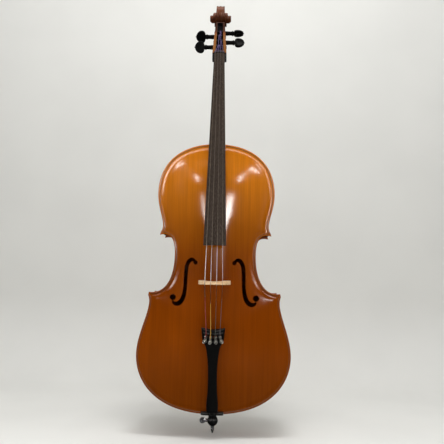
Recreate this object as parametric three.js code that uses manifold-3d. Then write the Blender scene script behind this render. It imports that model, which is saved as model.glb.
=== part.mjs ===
// A full-size cello, as the assembly of separate pieces that a maker would put together.
//
// Units are millimetres. +Z runs up the instrument, -Y is its front (the belly), +X is the treble side.
// The origin is the point of the retracted endpin. Everything above it is placed in the body's own group,
// whose z = 0 is the lower end of the belly and whose y = 0 is the middle of the ribs.
import * as THREE from "three";
import { mergeVertices } from "three/addons/utils/BufferGeometryUtils.js";
import Module from "manifold-3d";

const wasm = await Module();
wasm.setup();

// ---------------------------------------------------------------- driving dimensions
const SPIKE_TO_BODY = 67; // point of the retracted endpin to the lower end of the belly
const BODY_LENGTH = 761;
const RIB_HEIGHT = 117;
const RIB_THICKNESS = 1.6;
const EDGE_THICKNESS = 4.8; // of both plates, where they stand out over the ribs
const OVERHANG = 3.5; // how far the plates stand out over the ribs
const ARCH = 20.5; // rise of both plates from their edge to their middle
const PLATE_THICKNESS = 5;
const GAP = 0.3; // a glue line between two pieces that touch

const STOP = 399; // upper end of the belly to the bridge
const BRIDGE_HEIGHT = 88;
const NECK_LENGTH = 284; // upper end of the belly to the nut
const OVERSTAND = 20; // the belly's edge to the underside of the fingerboard
const NECK_SLOPE = 0.17; // how fast the fingerboard leans back, in mm per mm
const BOARD_LENGTH = 583;
const BOARD_WIDTH = { nut: 31, bridge: 62 };
const BOARD_EDGE = 6;
const BOARD_RADIUS = 62;

const NUT_SPAN = 22.5; // first to last string
const BRIDGE_SPAN = 47;
const TAIL_SPAN = 37;
const STRING_RADIUS = { c: 0.95, g: 0.75, d: 0.6, a: 0.5 };
const STRING_ORDER = ["c", "g", "d", "a"]; // from the bass side to the treble side

// ---------------------------------------------------------------- places that follow from them
const HALF_RIB = RIB_HEIGHT / 2;
const EDGE_Y = -(HALF_RIB + EDGE_THICKNESS); // the belly's edge
const BRIDGE_Z = BODY_LENGTH - STOP;
const NUT_Z = BODY_LENGTH + NECK_LENGTH;
const BOARD_END_Z = NUT_Z - BOARD_LENGTH;
const boardUnderside = (z) => EDGE_Y - OVERSTAND + NECK_SLOPE * (z - BODY_LENGTH);
const boardWidth = (z) =>
  THREE.MathUtils.mapLinear(z, NUT_Z, BOARD_END_Z, BOARD_WIDTH.nut, BOARD_WIDTH.bridge);
const arcDrop = (radius, x) => radius - Math.sqrt(radius * radius - x * x);
// The fingerboard's playing surface: its edge thickness plus the crown of its round top.
const boardTop = (x, z) =>
  boardUnderside(z) - BOARD_EDGE - arcDrop(BOARD_RADIUS, boardWidth(z) / 2) + arcDrop(BOARD_RADIUS, x);

// ---------------------------------------------------------------- finishes
const finish = (color, roughness, metalness = 0) =>
  new THREE.MeshStandardMaterial({ color, roughness, metalness });
const VARNISHED_SPRUCE = finish(0xa85a16, 0.25);
const VARNISHED_MAPLE = finish(0x9a4c16, 0.25);
const BARE_SPRUCE = finish(0xdcc193, 0.7);
const BARE_MAPLE = finish(0xe2c79a, 0.6);
const EBONY = finish(0x191512, 0.4);
const BLACK_FITTING = finish(0x101010, 0.35);
const STEEL = finish(0xb8babd, 0.3, 1);
const STRING_METAL = finish(0xc9c4bb, 0.35, 1);
const BLACK_CORD = finish(0x0c0c0c, 0.6);

// ---------------------------------------------------------------- solids
const P = (x, y) => new THREE.Vector2(x, y);
const V = (x, y, z) => new THREE.Vector3(x, y, z);
const range = (count) => Array.from({ length: count }, (_, i) => i);
const mirrored = (points) => points.map((p) => P(-p.x, p.y)).reverse();

const MERGE_DISTANCE = 1e-4;
const unindexed = (geometry) => (geometry.index ? geometry.toNonIndexed() : geometry);
// Merges the corners that coincide, drops the faces that vanish, and turns the faces outwards.
function facingOut(geometry) {
  const bare = new THREE.BufferGeometry();
  bare.setAttribute("position", unindexed(geometry).getAttribute("position"));
  const merged = mergeVertices(bare, MERGE_DISTANCE);
  const corners = [...merged.index.array];
  const faces = [];
  for (let i = 0; i < corners.length; i += 3) {
    const [a, b, c] = corners.slice(i, i + 3);
    if (a !== b && b !== c && c !== a) faces.push(a, b, c);
  }
  return outwards(merged, faces);
}
function toSolid(geometry) {
  const whole = facingOut(geometry);
  const vertProperties = whole.attributes.position.array;
  const triVerts = new Uint32Array(whole.index.array);
  return new wasm.Manifold(new wasm.Mesh({ numProp: 3, vertProperties, triVerts }));
}

function toGeometry(solid) {
  const { vertProperties, triVerts } = solid.getMesh();
  const geometry = new THREE.BufferGeometry();
  geometry.setAttribute("position", new THREE.BufferAttribute(vertProperties, 3));
  geometry.setIndex(new THREE.BufferAttribute(triVerts, 1));
  return geometry;
}

const cut = (first, ...others) =>
  toGeometry(others.reduce((solid, other) => solid.subtract(toSolid(other)), toSolid(first)));
const join = (first, ...others) =>
  toGeometry(others.reduce((solid, other) => solid.add(toSolid(other)), toSolid(first)));
const common = (first, ...others) =>
  toGeometry(others.reduce((solid, other) => solid.intersect(toSolid(other)), toSolid(first)));

// A closed surface through rings of points that all have the same count.
// A capped end gets a fan of triangles.
function skin(rings, caps = [true, true]) {
  const count = rings[0].length;
  const points = rings.flat();
  const faces = [];
  for (let r = 0; r + 1 < rings.length; r++) {
    for (let i = 0; i < count; i++) {
      const j = (i + 1) % count;
      const [a, b, c, d] = [r * count + i, r * count + j, (r + 1) * count + j, (r + 1) * count + i];
      faces.push(a, b, c, a, c, d);
    }
  }
  caps.forEach((capped, isLast) => {
    if (!capped) return;
    const first = isLast ? (rings.length - 1) * count : 0;
    const ring = points.slice(first, first + count);
    points.push(ring.reduce((sum, p) => sum.add(p), V(0, 0, 0)).divideScalar(count));
    for (let i = 0; i < count; i++) {
      const edge = [first + i, first + ((i + 1) % count)];
      faces.push(...(isLast ? edge : edge.reverse()), points.length - 1);
    }
  });
  return outwards(new THREE.BufferGeometry().setFromPoints(points), faces);
}
// Sets the faces, turned over if they enclose a negative volume.
function outwards(geometry, faces) {
  const at = geometry.attributes.position;
  const corner = (k) => V(0, 0, 0).fromBufferAttribute(at, faces[k]);
  let volume = 0;
  for (let i = 0; i < faces.length; i += 3) {
    volume += corner(i).dot(corner(i + 1).cross(corner(i + 2)));
  }
  if (volume < 0) faces.reverse();
  return geometry.setIndex(faces);
}

// A flat outline drawn in the body's X-Z plane, made into a slab from y = from to y = to.
function slab(outline, from, to) {
  const settings = { depth: to - from, bevelEnabled: false };
  const geometry = new THREE.ExtrudeGeometry(new THREE.Shape(outline), settings);
  return geometry.rotateX(Math.PI / 2).translate(0, to, 0);
}

// A side view drawn as points of (y, z), made into a slab from x = -half to x = half.
function sideSlab(outline, half) {
  const shape = new THREE.Shape(outline.map((p) => P(p.x, p.y)));
  const geometry = new THREE.ExtrudeGeometry(shape, { depth: 2 * half, bevelEnabled: false });
  geometry.translate(0, 0, -half);
  return geometry.applyMatrix4(new THREE.Matrix4().makeBasis(V(0, 1, 0), V(0, 0, 1), V(1, 0, 0)));
}

const block = (width, depth, height, x, y, z) =>
  new THREE.BoxGeometry(width, depth, height).translate(x, y, z);
// A rod between two points.
function rod(from, to, radius, sides = 12, endRadius = radius) {
  const along = V(0, 0, 0).subVectors(to, from);
  const geometry = new THREE.CylinderGeometry(endRadius, radius, along.length(), sides);
  geometry.translate(0, along.length() / 2, 0);
  geometry.applyQuaternion(new THREE.Quaternion().setFromUnitVectors(V(0, 1, 0), along.normalize()));
  return geometry.translate(from.x, from.y, from.z);
}
// A turned piece on the Y axis, from a list of [radius, y].
const lathe = (profile, sides) => facingOut(new THREE.LatheGeometry(profile.map(([r, y]) => P(r, y)), sides));
// A turned piece on the X axis, from a list of [x, radius].
const turned = (profile, sides) => lathe(profile.map(([x, r]) => [r, x]), sides).rotateZ(-Math.PI / 2);
// A round cord through points. Its radius is one number, or one for each point.
function cord(points, radius, sides = 6) {
  const radii = Array.isArray(radius) ? radius : points.map(() => radius);
  let along = V(0, 0, 0).subVectors(points[1], points[0]).normalize();
  const side = V(1, 0.3, 0.2).cross(along).normalize();
  const rings = points.map((point, i) => {
    const [before, after] = [points[Math.max(i - 1, 0)], points[Math.min(i + 1, points.length - 1)]];
    const next = V(0, 0, 0).subVectors(after, before).normalize();
    side.applyQuaternion(new THREE.Quaternion().setFromUnitVectors(along, next));
    along = next;
    const other = V(0, 0, 0).crossVectors(along, side);
    return range(sides).map((k) => {
      const turn = (2 * Math.PI * k) / sides;
      const spoke = side.clone().multiplyScalar(Math.cos(turn)).addScaledVector(other, Math.sin(turn));
      return point.clone().addScaledVector(spoke, radii[i]);
    });
  });
  return skin(rings);
}

// ---------------------------------------------------------------- the outline of the body
// Each bout is two curves that meet where it is widest or narrowest. Points are (x, z), on the treble side.
const WIDEST_LOWER = P(216, 159);
const LOWER_CORNER = { below: P(187.5, 323.5), above: P(185.5, 332.5) };
const NARROWEST = P(115, 439);
const UPPER_CORNER = { below: P(159, 494.5), above: P(156.5, 503.5) };
const WIDEST_UPPER = P(167.5, 614);

const curve = (...points) => new THREE.CubicBezierCurve(...points);
const LOWER_BOUT = [
  curve(P(0, 0), P(155, 0), P(216, 81), WIDEST_LOWER),
  curve(WIDEST_LOWER, P(216, 222), P(171, 291), LOWER_CORNER.below),
];
const WAIST = [
  curve(LOWER_CORNER.above, P(144, 326), P(115, 365), NARROWEST),
  curve(NARROWEST, P(115, 483), P(128, 503), UPPER_CORNER.below),
];
const UPPER_BOUT = [
  curve(UPPER_CORNER.above, P(140, 527), P(167.5, 563), WIDEST_UPPER),
  curve(WIDEST_UPPER, P(167.5, 706), P(104, BODY_LENGTH), P(0, BODY_LENGTH)),
];
const pointsOf = (curves, steps) =>
  curves.flatMap((c, i) => c.getPoints(steps).slice(i === 0 ? 0 : 1));

// Each curve with the stretch of the plate's ridge that its points look towards.
const FAN = [
  [LOWER_BOUT[0], 9, 157, 202],
  [LOWER_BOUT[1], 6, 202, 295],
  [WAIST[0], 6, 299, 402],
  [WAIST[1], 5, 402, 519],
  [UPPER_BOUT[0], 5, 523, 592],
  [UPPER_BOUT[1], 9, 592, 622],
];

// The outline's points, each with the point of the ridge that it looks towards.
function outlineFan() {
  const half = [];
  FAN.forEach(([bout, steps, ridgeFrom, ridgeTo]) => {
    bout.getPoints(steps).forEach((edge, k) => {
      const repeated = half.length > 0 && half.at(-1).edge.distanceTo(edge) < 1e-6;
      if (!repeated) half.push({ edge, ridge: THREE.MathUtils.lerp(ridgeFrom, ridgeTo, k / steps) });
    });
  });
  const bass = half.slice(1, -1).map(({ edge, ridge }) => ({ edge: P(-edge.x, edge.y), ridge }));
  return [...half, ...bass.reverse()];
}

// ---------------------------------------------------------------- the two plates
const CHANNEL = { in: 9, depth: 0.8 }; // the low line just inside a plate's edge
// Height over the edge, at a share t of the way from the channel to the ridge.
const archAt = (t) => ARCH * (0.5 - 0.5 * Math.cos(Math.PI * Math.pow(t, 0.8)));

// Rings of points that shrink from a plate's edge to its ridge, with the plate facing -Y.
const ARCH_STEPS = [0.28, 0.6, 1];
const fan = outlineFan();
const outlineRing = (y) => fan.map(({ edge }) => V(edge.x, y, edge.y));
const archRing = (t, y) =>
  fan.map(({ edge, ridge }) => {
    const reach = edge.distanceTo(P(0, ridge));
    const share = (CHANNEL.in + t * (reach - CHANNEL.in)) / reach;
    return V(edge.x * (1 - share), y, THREE.MathUtils.lerp(edge.y, ridge, share));
  });
const outerRings = (shift = 0) => [
  outlineRing(EDGE_Y + shift),
  archRing(0, EDGE_Y + CHANNEL.depth + shift),
  ...ARCH_STEPS.map((t) => archRing(t, EDGE_Y - archAt(t) + shift)),
];
const innerFace = (t) => Math.min(-HALF_RIB, EDGE_Y - archAt(t) + PLATE_THICKNESS);
const innerRings = (shift = 0) => [
  outlineRing(-HALF_RIB + shift),
  ...ARCH_STEPS.map((t) => archRing(t, innerFace(t) + shift)),
];
const plate = () => skin([...outerRings().reverse(), ...innerRings()], [false, false]);
// All that lies behind the plate's outer face, and all that lies in front of its inner face.
const behindOuterFace = skin([outlineRing(0), ...outerRings(-GAP)], [true, false]);
const beforeInnerFace = skin([outlineRing(EDGE_Y - 60), ...innerRings(GAP)], [true, false]);

// One f-hole of the treble side, as a cutter. Its points are (x, z).
const F_UPPER_EYE = { at: P(54.7, 417), radius: 6.2 };
const F_LOWER_EYE = { at: P(117, 319), radius: 8.6 };
function fHole() {
  const stem = new THREE.Shape();
  stem.moveTo(56, 413);
  stem.bezierCurveTo(49, 433, 76, 440, 84, 411); // over the upper turn, outer side
  stem.bezierCurveTo(90, 392, 83.5, 352, 92, 325); // down the outer side of the stem
  stem.bezierCurveTo(97, 308, 109, 301, 117, 311); // round the lower turn, inner side
  stem.bezierCurveTo(126, 297, 92, 279, 80.5, 321);
  stem.bezierCurveTo(74.5, 347, 78, 385, 73.5, 406); // up the inner side of the stem
  stem.bezierCurveTo(69, 422, 60, 424, 56, 413);
  const eye = ({ at, radius }) => rod(V(at.x, -110, at.y), V(at.x, -50, at.y), radius, 12);
  return join(slab(stem.getPoints(5).slice(0, -1), -110, -50), eye(F_UPPER_EYE), eye(F_LOWER_EYE));
}

// ---------------------------------------------------------------- strips and blocks inside the outline
// The part of a path between two distances along it, moved inwards. Inwards is to the left of the path.
function offsetPath(path, from, to, inwards) {
  const distances = [0];
  for (let i = 1; i < path.length; i++) {
    distances.push(distances[i - 1] + path[i].distanceTo(path[i - 1]));
  }
  const pointAt = (s) => {
    const i = Math.max(1, distances.findIndex((d) => d >= s));
    const share = (s - distances[i - 1]) / (distances[i] - distances[i - 1]);
    return path[i - 1].clone().lerp(path[i], share);
  };
  const stops = [from, ...distances.filter((d) => d > from + 0.5 && d < to - 0.5), to];
  return stops.map((s) => {
    const ahead = pointAt(Math.min(s + 0.5, distances.at(-1)));
    const behind = pointAt(Math.max(s - 0.5, 0));
    const along = ahead.sub(behind).normalize();
    return pointAt(s).add(P(-along.y, along.x).multiplyScalar(inwards));
  });
}
const lengthOf = (path) => path.slice(1).reduce((sum, p, i) => sum + p.distanceTo(path[i]), 0);

// The same slab on the treble side, or mirrored on the bass side.
const sided = (side, outline, from, to) => slab(side === "treble" ? outline : mirrored(outline), from, to);

const RIB_FACE = OVERHANG + RIB_THICKNESS; // the plate's edge to the inner face of a rib
const LINING_THICKNESS = 2;
const LINING_HEIGHT = 18;
const CORNER_REACH = 40; // how far a corner block runs along each rib
const END_BLOCK = { halfWidth: 46, depth: 40 };
const RIB_CORNER = 3.5; // a rib stops this far before the plate's corner
const HEEL_HALF_WIDTH = 23; // of the neck, where the upper ribs stop against it
const PATHS = {
  lower: { path: pointsOf(LOWER_BOUT, 12), start: 0, end: RIB_CORNER },
  waist: { path: pointsOf(WAIST, 9), start: RIB_CORNER, end: RIB_CORNER },
  upper: { path: pointsOf(UPPER_BOUT, 11), start: RIB_CORNER, end: HEEL_HALF_WIDTH + 1 },
};
// Where each bout's linings start and stop, measured from the ends of its path.
const AT_BLOCK = END_BLOCK.halfWidth + 2;
const AT_CORNER = CORNER_REACH + 1;
const LINING_ENDS = {
  lower: [AT_BLOCK, AT_CORNER],
  waist: [AT_CORNER, AT_CORNER],
  upper: [AT_CORNER, AT_BLOCK],
};

function strip(path, from, to, outer, inner) {
  return [...offsetPath(path, from, to, outer), ...offsetPath(path, from, to, inner).reverse()];
}

// ---------------------------------------------------------------- the tree of pieces
const cello = new THREE.Group();
const body = new THREE.Group();
body.position.z = SPIKE_TO_BODY;
cello.add(body);

function piece(name, geometry, material, parent = body) {
  const mesh = new THREE.Mesh(geometry, material);
  mesh.name = name;
  parent.add(mesh);
  return mesh;
}

// ---------------------------------------------------------------- neck, pegbox and scroll
const HEEL_MORTISE = 12; // how far the heel is let into the upper end
const BUTTON = { z: 18, radius: 14.5 };
const HEEL_Z = BODY_LENGTH - OVERHANG - RIB_THICKNESS - HEEL_MORTISE;
const HEEL_TOP = BODY_LENGTH + BUTTON.z - 2;
const HEEL_CURVE = 62; // radius of the heel's hollow, in side view
const HEEL_TAPER = 0.38; // how much narrower the heel is at its back
const HEEL_SQUARENESS = 0.55; // 0 is a round section and 1 is a square one
const HEEL_STEPS = [0, 0.03, 0.1, 0.22, 0.4, 0.65, 1]; // shares of the way up the hollow
const NECK_DEPTH = { heel: 22, nut: 17 }; // underside of the fingerboard to the rear of the neck

// The rear of the neck: the heel reaches the back plate, then a round hollow leads into the neck.
function neckRear(z) {
  const depth = THREE.MathUtils.mapLinear(z, HEEL_TOP, NUT_Z, NECK_DEPTH.heel, NECK_DEPTH.nut);
  const shaft = boardUnderside(z) + depth;
  const above = z - HEEL_TOP;
  if (above <= 0) return HALF_RIB - GAP;
  if (above >= HEEL_CURVE) return shaft;
  const share = above / HEEL_CURVE;
  return THREE.MathUtils.lerp(shaft, HALF_RIB - GAP, 1 - Math.sqrt(1 - (1 - share) ** 2));
}

function neckShaft() {
  const hollow = HEEL_STEPS.map((share) => HEEL_TOP + share * HEEL_CURVE);
  const straight = [0.4, 0.7, 1].map((share) => THREE.MathUtils.lerp(hollow.at(-1), NUT_Z, share));
  const rings = [HEEL_Z, ...hollow, ...straight].map((z) => {
    const heel = THREE.MathUtils.clamp(1.5 * (1 - (z - HEEL_TOP) / HEEL_CURVE), 0, 1);
    const halfWidth = Math.min(HEEL_HALF_WIDTH, boardWidth(z) / 2);
    const top = boardUnderside(z) + GAP;
    const power = 1 - HEEL_SQUARENESS * heel;
    return range(11).map((k) => {
      const turn = (Math.PI * k) / 10;
      const across = Math.sign(Math.cos(turn)) * Math.abs(Math.cos(turn)) ** power;
      const back = Math.max(0, Math.sin(turn)) ** power;
      const x = halfWidth * across * (1 - HEEL_TAPER * back * heel);
      return V(x, THREE.MathUtils.lerp(top, neckRear(z), back), z);
    });
  });
  return skin(rings);
}

// The pegbox leans back further than the neck. u runs up its front edge from the nut, v runs back from it.
const PEGBOX_LEAN = THREE.MathUtils.degToRad(18);
const PEGBOX_FRONT = { y: boardUnderside(NUT_Z) - 1.5, z: NUT_Z + 3 };
const PEGBOX_LENGTH = 121;
const inPegbox = (u, v) =>
  P(
    PEGBOX_FRONT.y + u * Math.sin(PEGBOX_LEAN) + v * Math.cos(PEGBOX_LEAN),
    PEGBOX_FRONT.z + u * Math.cos(PEGBOX_LEAN) - v * Math.sin(PEGBOX_LEAN),
  );
const PEGBOX_HALF_WIDTH = { nut: 21.5, throat: 14.5 };
const THROAT_Z = NUT_Z + 108;
const SPINE_HALF_WIDTH = 12.5; // of the scroll's outer turn
const PEGBOX_WALL = 8;
const pegboxHalfWidth = (z) =>
  THREE.MathUtils.mapLinear(z, NUT_Z, THROAT_Z, PEGBOX_HALF_WIDTH.nut, PEGBOX_HALF_WIDTH.throat);

// The scroll is a spiral round its eye. Its turns stand wider towards the eye.
const EYE = { u: 153.5, v: 21, halfLength: 33, radius: 10 };
const SPIRAL = { radius: 42, shrink: 0.13 }; // it keeps its full radius up to the top of the scroll
const spiralRadius = (turn) => SPIRAL.radius * Math.exp(-SPIRAL.shrink * Math.max(0, turn - Math.PI / 2));
const spiralPoint = (turn) =>
  inPegbox(EYE.u + spiralRadius(turn) * Math.sin(turn), EYE.v + spiralRadius(turn) * Math.cos(turn));
const spiral = (from, steps) => range(steps).map((k) => spiralPoint(from + (2 * Math.PI * k) / steps));

function pegboxProfile() {
  const chin = [[-24, 15], [-13, 27], [4, 41], [24, 45]];
  const throat = [[62, 41], [98, 34], [112, 35], [124, 40], [135, 49]];
  const back = new THREE.SplineCurve([...chin, ...throat].map(([u, v]) => inPegbox(u, v)));
  const round = range(13).map((k) => spiralPoint((k * 4.6) / 12));
  const front = [inPegbox(PEGBOX_LENGTH, 0), inPegbox(-1, 0)];
  return [inPegbox(0, 4), ...back.getPoints(14), ...round, ...front];
}

function pegboxPlan() {
  const { nut } = PEGBOX_HALF_WIDTH;
  const top = NUT_Z + 200;
  const shoulder = [P(15.6, NUT_Z - 30), P(nut - 2.2, NUT_Z - 24), P(nut, NUT_Z - 15), P(nut, NUT_Z)];
  const throat = P(PEGBOX_HALF_WIDTH.throat, THROAT_Z);
  const treble = [...shoulder, throat, P(SPINE_HALF_WIDTH, NUT_Z + 150), P(SPINE_HALF_WIDTH, top)];
  return [...treble, ...mirrored(treble)];
}

function pegCavity() {
  const [nutEnd, throatEnd, above] = [7, PEGBOX_LENGTH - 4, -12];
  const floor = [[nutEnd, 30], [40, 34], [88, 27], [109, 21], [throatEnd, 14]];
  const outline = [[nutEnd, above], ...floor, [throatEnd, above]].map(([u, v]) => inPegbox(u, v));
  const { nut, throat } = PEGBOX_HALF_WIDTH;
  const treble = [P(nut - PEGBOX_WALL, NUT_Z - 30), P(throat - PEGBOX_WALL + 1, THROAT_Z + 20)];
  return common(sideSlab(outline.reverse(), 20), slab([...treble, ...mirrored(treble)], -120, 60));
}

// ---------------------------------------------------------------- pegs
// Each peg's place up the pegbox, the side its head is on, and how far its head is turned at rest.
const PEGS = {
  c: { u: 34, v: 16, side: -1, turn: 4 },
  a: { u: 53, v: 16, side: 1, turn: -24 },
  g: { u: 73, v: 14, side: -1, turn: 38 },
  d: { u: 91, v: 17.5, side: 1, turn: 88 },
};
const PEG_HEAD = { length: 30, height: 37, thickness: 13 };
const PEG_NECK = 27; // the pegbox wall to the head
const PEG_RADIUS = { outer: 6.6, tip: 5.2 };
const PEG_TIP_OUT = 1.5;

// A peg along +X from the centre of the pegbox, with its head at the far end.
function pegGeometry(halfWidth) {
  const headStart = halfWidth + PEG_NECK;
  const shaft = turned(
    [
      [-halfWidth - PEG_TIP_OUT, 0],
      [-halfWidth - PEG_TIP_OUT, PEG_RADIUS.tip - 0.8],
      [-halfWidth - 0.7, PEG_RADIUS.tip],
      [halfWidth + 2, PEG_RADIUS.outer],
      [headStart - 6, PEG_RADIUS.outer + 0.2],
      [headStart - 5.5, 7.8],
      [headStart - 2.5, 7.8],
      [headStart - 1, 5.2],
      [headStart + 6, 5.2],
      [headStart + 6, 0],
    ],
    12,
  );
  const head = new THREE.SphereGeometry(1, 12, 7).rotateZ(Math.PI / 2);
  head.scale(PEG_HEAD.length / 2, PEG_HEAD.thickness / 2, PEG_HEAD.height / 2);
  head.translate(headStart + PEG_HEAD.length / 2 - 0.5, 0, 0);
  return join(shaft, head);
}
// The hole of that peg, wide enough to let it turn.
function pegHole(halfWidth) {
  const slope = (PEG_RADIUS.outer - PEG_RADIUS.tip) / (2 * halfWidth + 2.7);
  const radiusAt = (x) => PEG_RADIUS.tip + 0.3 + slope * (x + halfWidth + 0.7);
  const [from, to] = [-halfWidth - 8, halfWidth + 8];
  return turned([[from, 0], [from, radiusAt(from)], [to, radiusAt(to)], [to, 0]], 16);
}
const pegPlaces = Object.fromEntries(
  Object.entries(PEGS).map(([name, peg]) => {
    const at = inPegbox(peg.u, peg.v);
    return [name, { ...peg, at: V(0, at.x, at.y), halfWidth: pegboxHalfWidth(at.y) }];
  }),
);
const facing = (side, geometry) => (side > 0 ? geometry : geometry.rotateZ(Math.PI));

// The scroll's inner turns and its eye stand out further, one step at a time.
const INNER_TURNS = [
  { from: 1.5 * Math.PI, steps: 18, halfWidth: 19.5 },
  { from: 3.2 * Math.PI, steps: 14, halfWidth: 26 },
];
const eyeAt = (side) => V(side * EYE.halfLength, inPegbox(EYE.u, EYE.v).x, inPegbox(EYE.u, EYE.v).y);
const neckBlank = join(
  neckShaft(),
  common(sideSlab(pegboxProfile(), 40), slab(pegboxPlan(), -140, 120)),
  ...INNER_TURNS.map(({ from, steps, halfWidth }) => sideSlab(spiral(from, steps), halfWidth)),
  rod(eyeAt(-1), eyeAt(1), EYE.radius, 14),
);
const pegHoles = Object.values(pegPlaces).map(({ side, at, halfWidth }) =>
  facing(side, pegHole(halfWidth)).translate(at.x, at.y, at.z),
);
piece("neck_and_scroll", cut(neckBlank, pegCavity(), ...pegHoles), VARNISHED_MAPLE);

for (const [name, { side, turn, at, halfWidth }] of Object.entries(pegPlaces)) {
  const peg = piece(`peg_${name}`, facing(side, pegGeometry(halfWidth)), BLACK_FITTING);
  peg.position.copy(at);
  peg.rotation.x = THREE.MathUtils.degToRad(turn);
}

// ---------------------------------------------------------------- fingerboard and nut
function fingerboard() {
  const stations = [BOARD_END_Z, BOARD_END_Z + 200, BODY_LENGTH, NUT_Z];
  return skin(
    stations.map((z) => {
      const half = boardWidth(z) / 2;
      const round = range(7).map((k) => half * (1 - k / 4)); // the bass edge is flat under the c string
      const top = [...round, -half].map((x) => V(x, boardTop(x, z), z));
      return [V(-half, boardUnderside(z), z), V(half, boardUnderside(z), z), ...top];
    }),
  );
}
const NUT = { crest: 3.5, length: 5.5, rise: 1.6, drop: 3 };
function nut() {
  const half = BOARD_WIDTH.nut / 2 + 0.3;
  const from = NUT_Z + GAP;
  const floor = PEGBOX_FRONT.y - GAP;
  const rings = [[from, 0], [from + NUT.crest, 0], [from + NUT.length, NUT.drop]].map(([z, drop]) => {
    const top = range(7).map((k) => half * (1 - k / 3));
    const crest = top.map((x) => V(x, boardTop(x, NUT_Z) - NUT.rise + drop, z));
    return [V(-half, floor, z), V(half, floor, z), ...crest];
  });
  return skin(rings);
}
piece("fingerboard", fingerboard(), EBONY);
piece("nut", nut(), EBONY);

// ---------------------------------------------------------------- belly and back
const SADDLE = { halfWidth: 31, height: 8, rise: 8, edgeOut: 1.5 };
const neckNotch = block(2 * HEEL_HALF_WIDTH + 2 * GAP, 60, 40, 0, EDGE_Y, HEEL_Z - GAP + 20);
const saddleNotch = block(2 * SADDLE.halfWidth + 2 * GAP, 60, 2 * (SADDLE.height + GAP), 0, EDGE_Y, 0);
const treble = fHole();
const bass = toGeometry(toSolid(fHole()).mirror([1, 0, 0]));
const belly = cut(plate(), treble, bass, neckNotch, saddleNotch);
piece("belly", belly, VARNISHED_SPRUCE);

function backPlate() {
  const { radius, z } = BUTTON;
  const [middle, root] = [BODY_LENGTH + z - radius, BODY_LENGTH - 8];
  const tab = range(13).map((k) => {
    const turn = (Math.PI * k) / 12;
    return P(radius * Math.cos(turn), middle + radius * Math.sin(turn));
  });
  const button = slab([...tab, P(-radius, root), P(radius, root)], HALF_RIB, -EDGE_Y);
  return join(plate().rotateZ(Math.PI), button);
}
const back = backPlate();
piece("back", back, VARNISHED_MAPLE);

// ---------------------------------------------------------------- ribs, linings and blocks
const COLLAR = { shank: 12, bulb: 15.3, bulbZ: -31.5, rim: 6.8, neck: 11, lip: 15, top: 44 };
const collarHole = rod(V(0, 0, -70), V(0, 0, 70), COLLAR.shank + GAP, 24);

const RIB_DEPTH = [-HALF_RIB + GAP, HALF_RIB - GAP];
const LINING_FRONT = { belly: RIB_DEPTH[0], back: RIB_DEPTH[1] - LINING_HEIGHT };

function cornerOutline(below, above) {
  const inwards = RIB_FACE + 2 * GAP;
  const length = lengthOf(below);
  return [
    ...offsetPath(below, length - CORNER_REACH, length - RIB_CORNER - 10, inwards),
    ...offsetPath(above, RIB_CORNER + 10, CORNER_REACH, inwards),
  ];
}
const CORNERS = {
  lower: cornerOutline(PATHS.lower.path, PATHS.waist.path),
  upper: cornerOutline(PATHS.waist.path, PATHS.upper.path),
};

for (const side of ["bass", "treble"]) {
  for (const [bout, { path, start, end }] of Object.entries(PATHS)) {
    const length = lengthOf(path);
    const outline = strip(path, Math.max(start, GAP), length - end, OVERHANG, RIB_FACE);
    const rib = sided(side, outline, ...RIB_DEPTH);
    piece(`rib_${bout}_${side}`, bout === "lower" ? cut(rib, collarHole) : rib, VARNISHED_MAPLE);
    const [liningStart, liningEnd] = LINING_ENDS[bout];
    const faces = [RIB_FACE + GAP, RIB_FACE + GAP + LINING_THICKNESS];
    const liningOutline = strip(path, liningStart, length - liningEnd, ...faces);
    for (const [plateName, front] of Object.entries(LINING_FRONT)) {
      const lining = sided(side, liningOutline, front, front + LINING_HEIGHT);
      piece(`lining_${bout}_${side}_${plateName}`, lining, BARE_SPRUCE);
    }
  }
  for (const [corner, outline] of Object.entries(CORNERS)) {
    piece(`corner_block_${corner}_${side}`, sided(side, outline, ...RIB_DEPTH), BARE_SPRUCE);
  }
}

// A block across one end of the ribs. Its inner face is flat, at z = flatZ.
function endBlock(path, atUpperEnd, flatZ) {
  const length = lengthOf(path);
  const { halfWidth } = END_BLOCK;
  const span = atUpperEnd ? [length - halfWidth, length] : [0, halfWidth];
  const treble = offsetPath(path, ...span, RIB_FACE + GAP);
  const half = atUpperEnd ? [P(halfWidth, flatZ), ...treble] : [...treble, P(halfWidth, flatZ)];
  const other = mirrored(half.filter((p) => p.x > 0.5));
  return slab([...half, ...other], ...RIB_DEPTH);
}
const lowerBlock = endBlock(PATHS.lower.path, false, END_BLOCK.depth + RIB_FACE);
const upperBlock = endBlock(PATHS.upper.path, true, BODY_LENGTH - END_BLOCK.depth - RIB_FACE);
const mortise = block(2 * HEEL_HALF_WIDTH + 2 * GAP, 200, 40, 0, 0, HEEL_Z - GAP + 20);
piece("end_block", cut(lowerBlock, collarHole), BARE_SPRUCE);
piece("neck_block", cut(upperBlock, mortise), BARE_SPRUCE);

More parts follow.
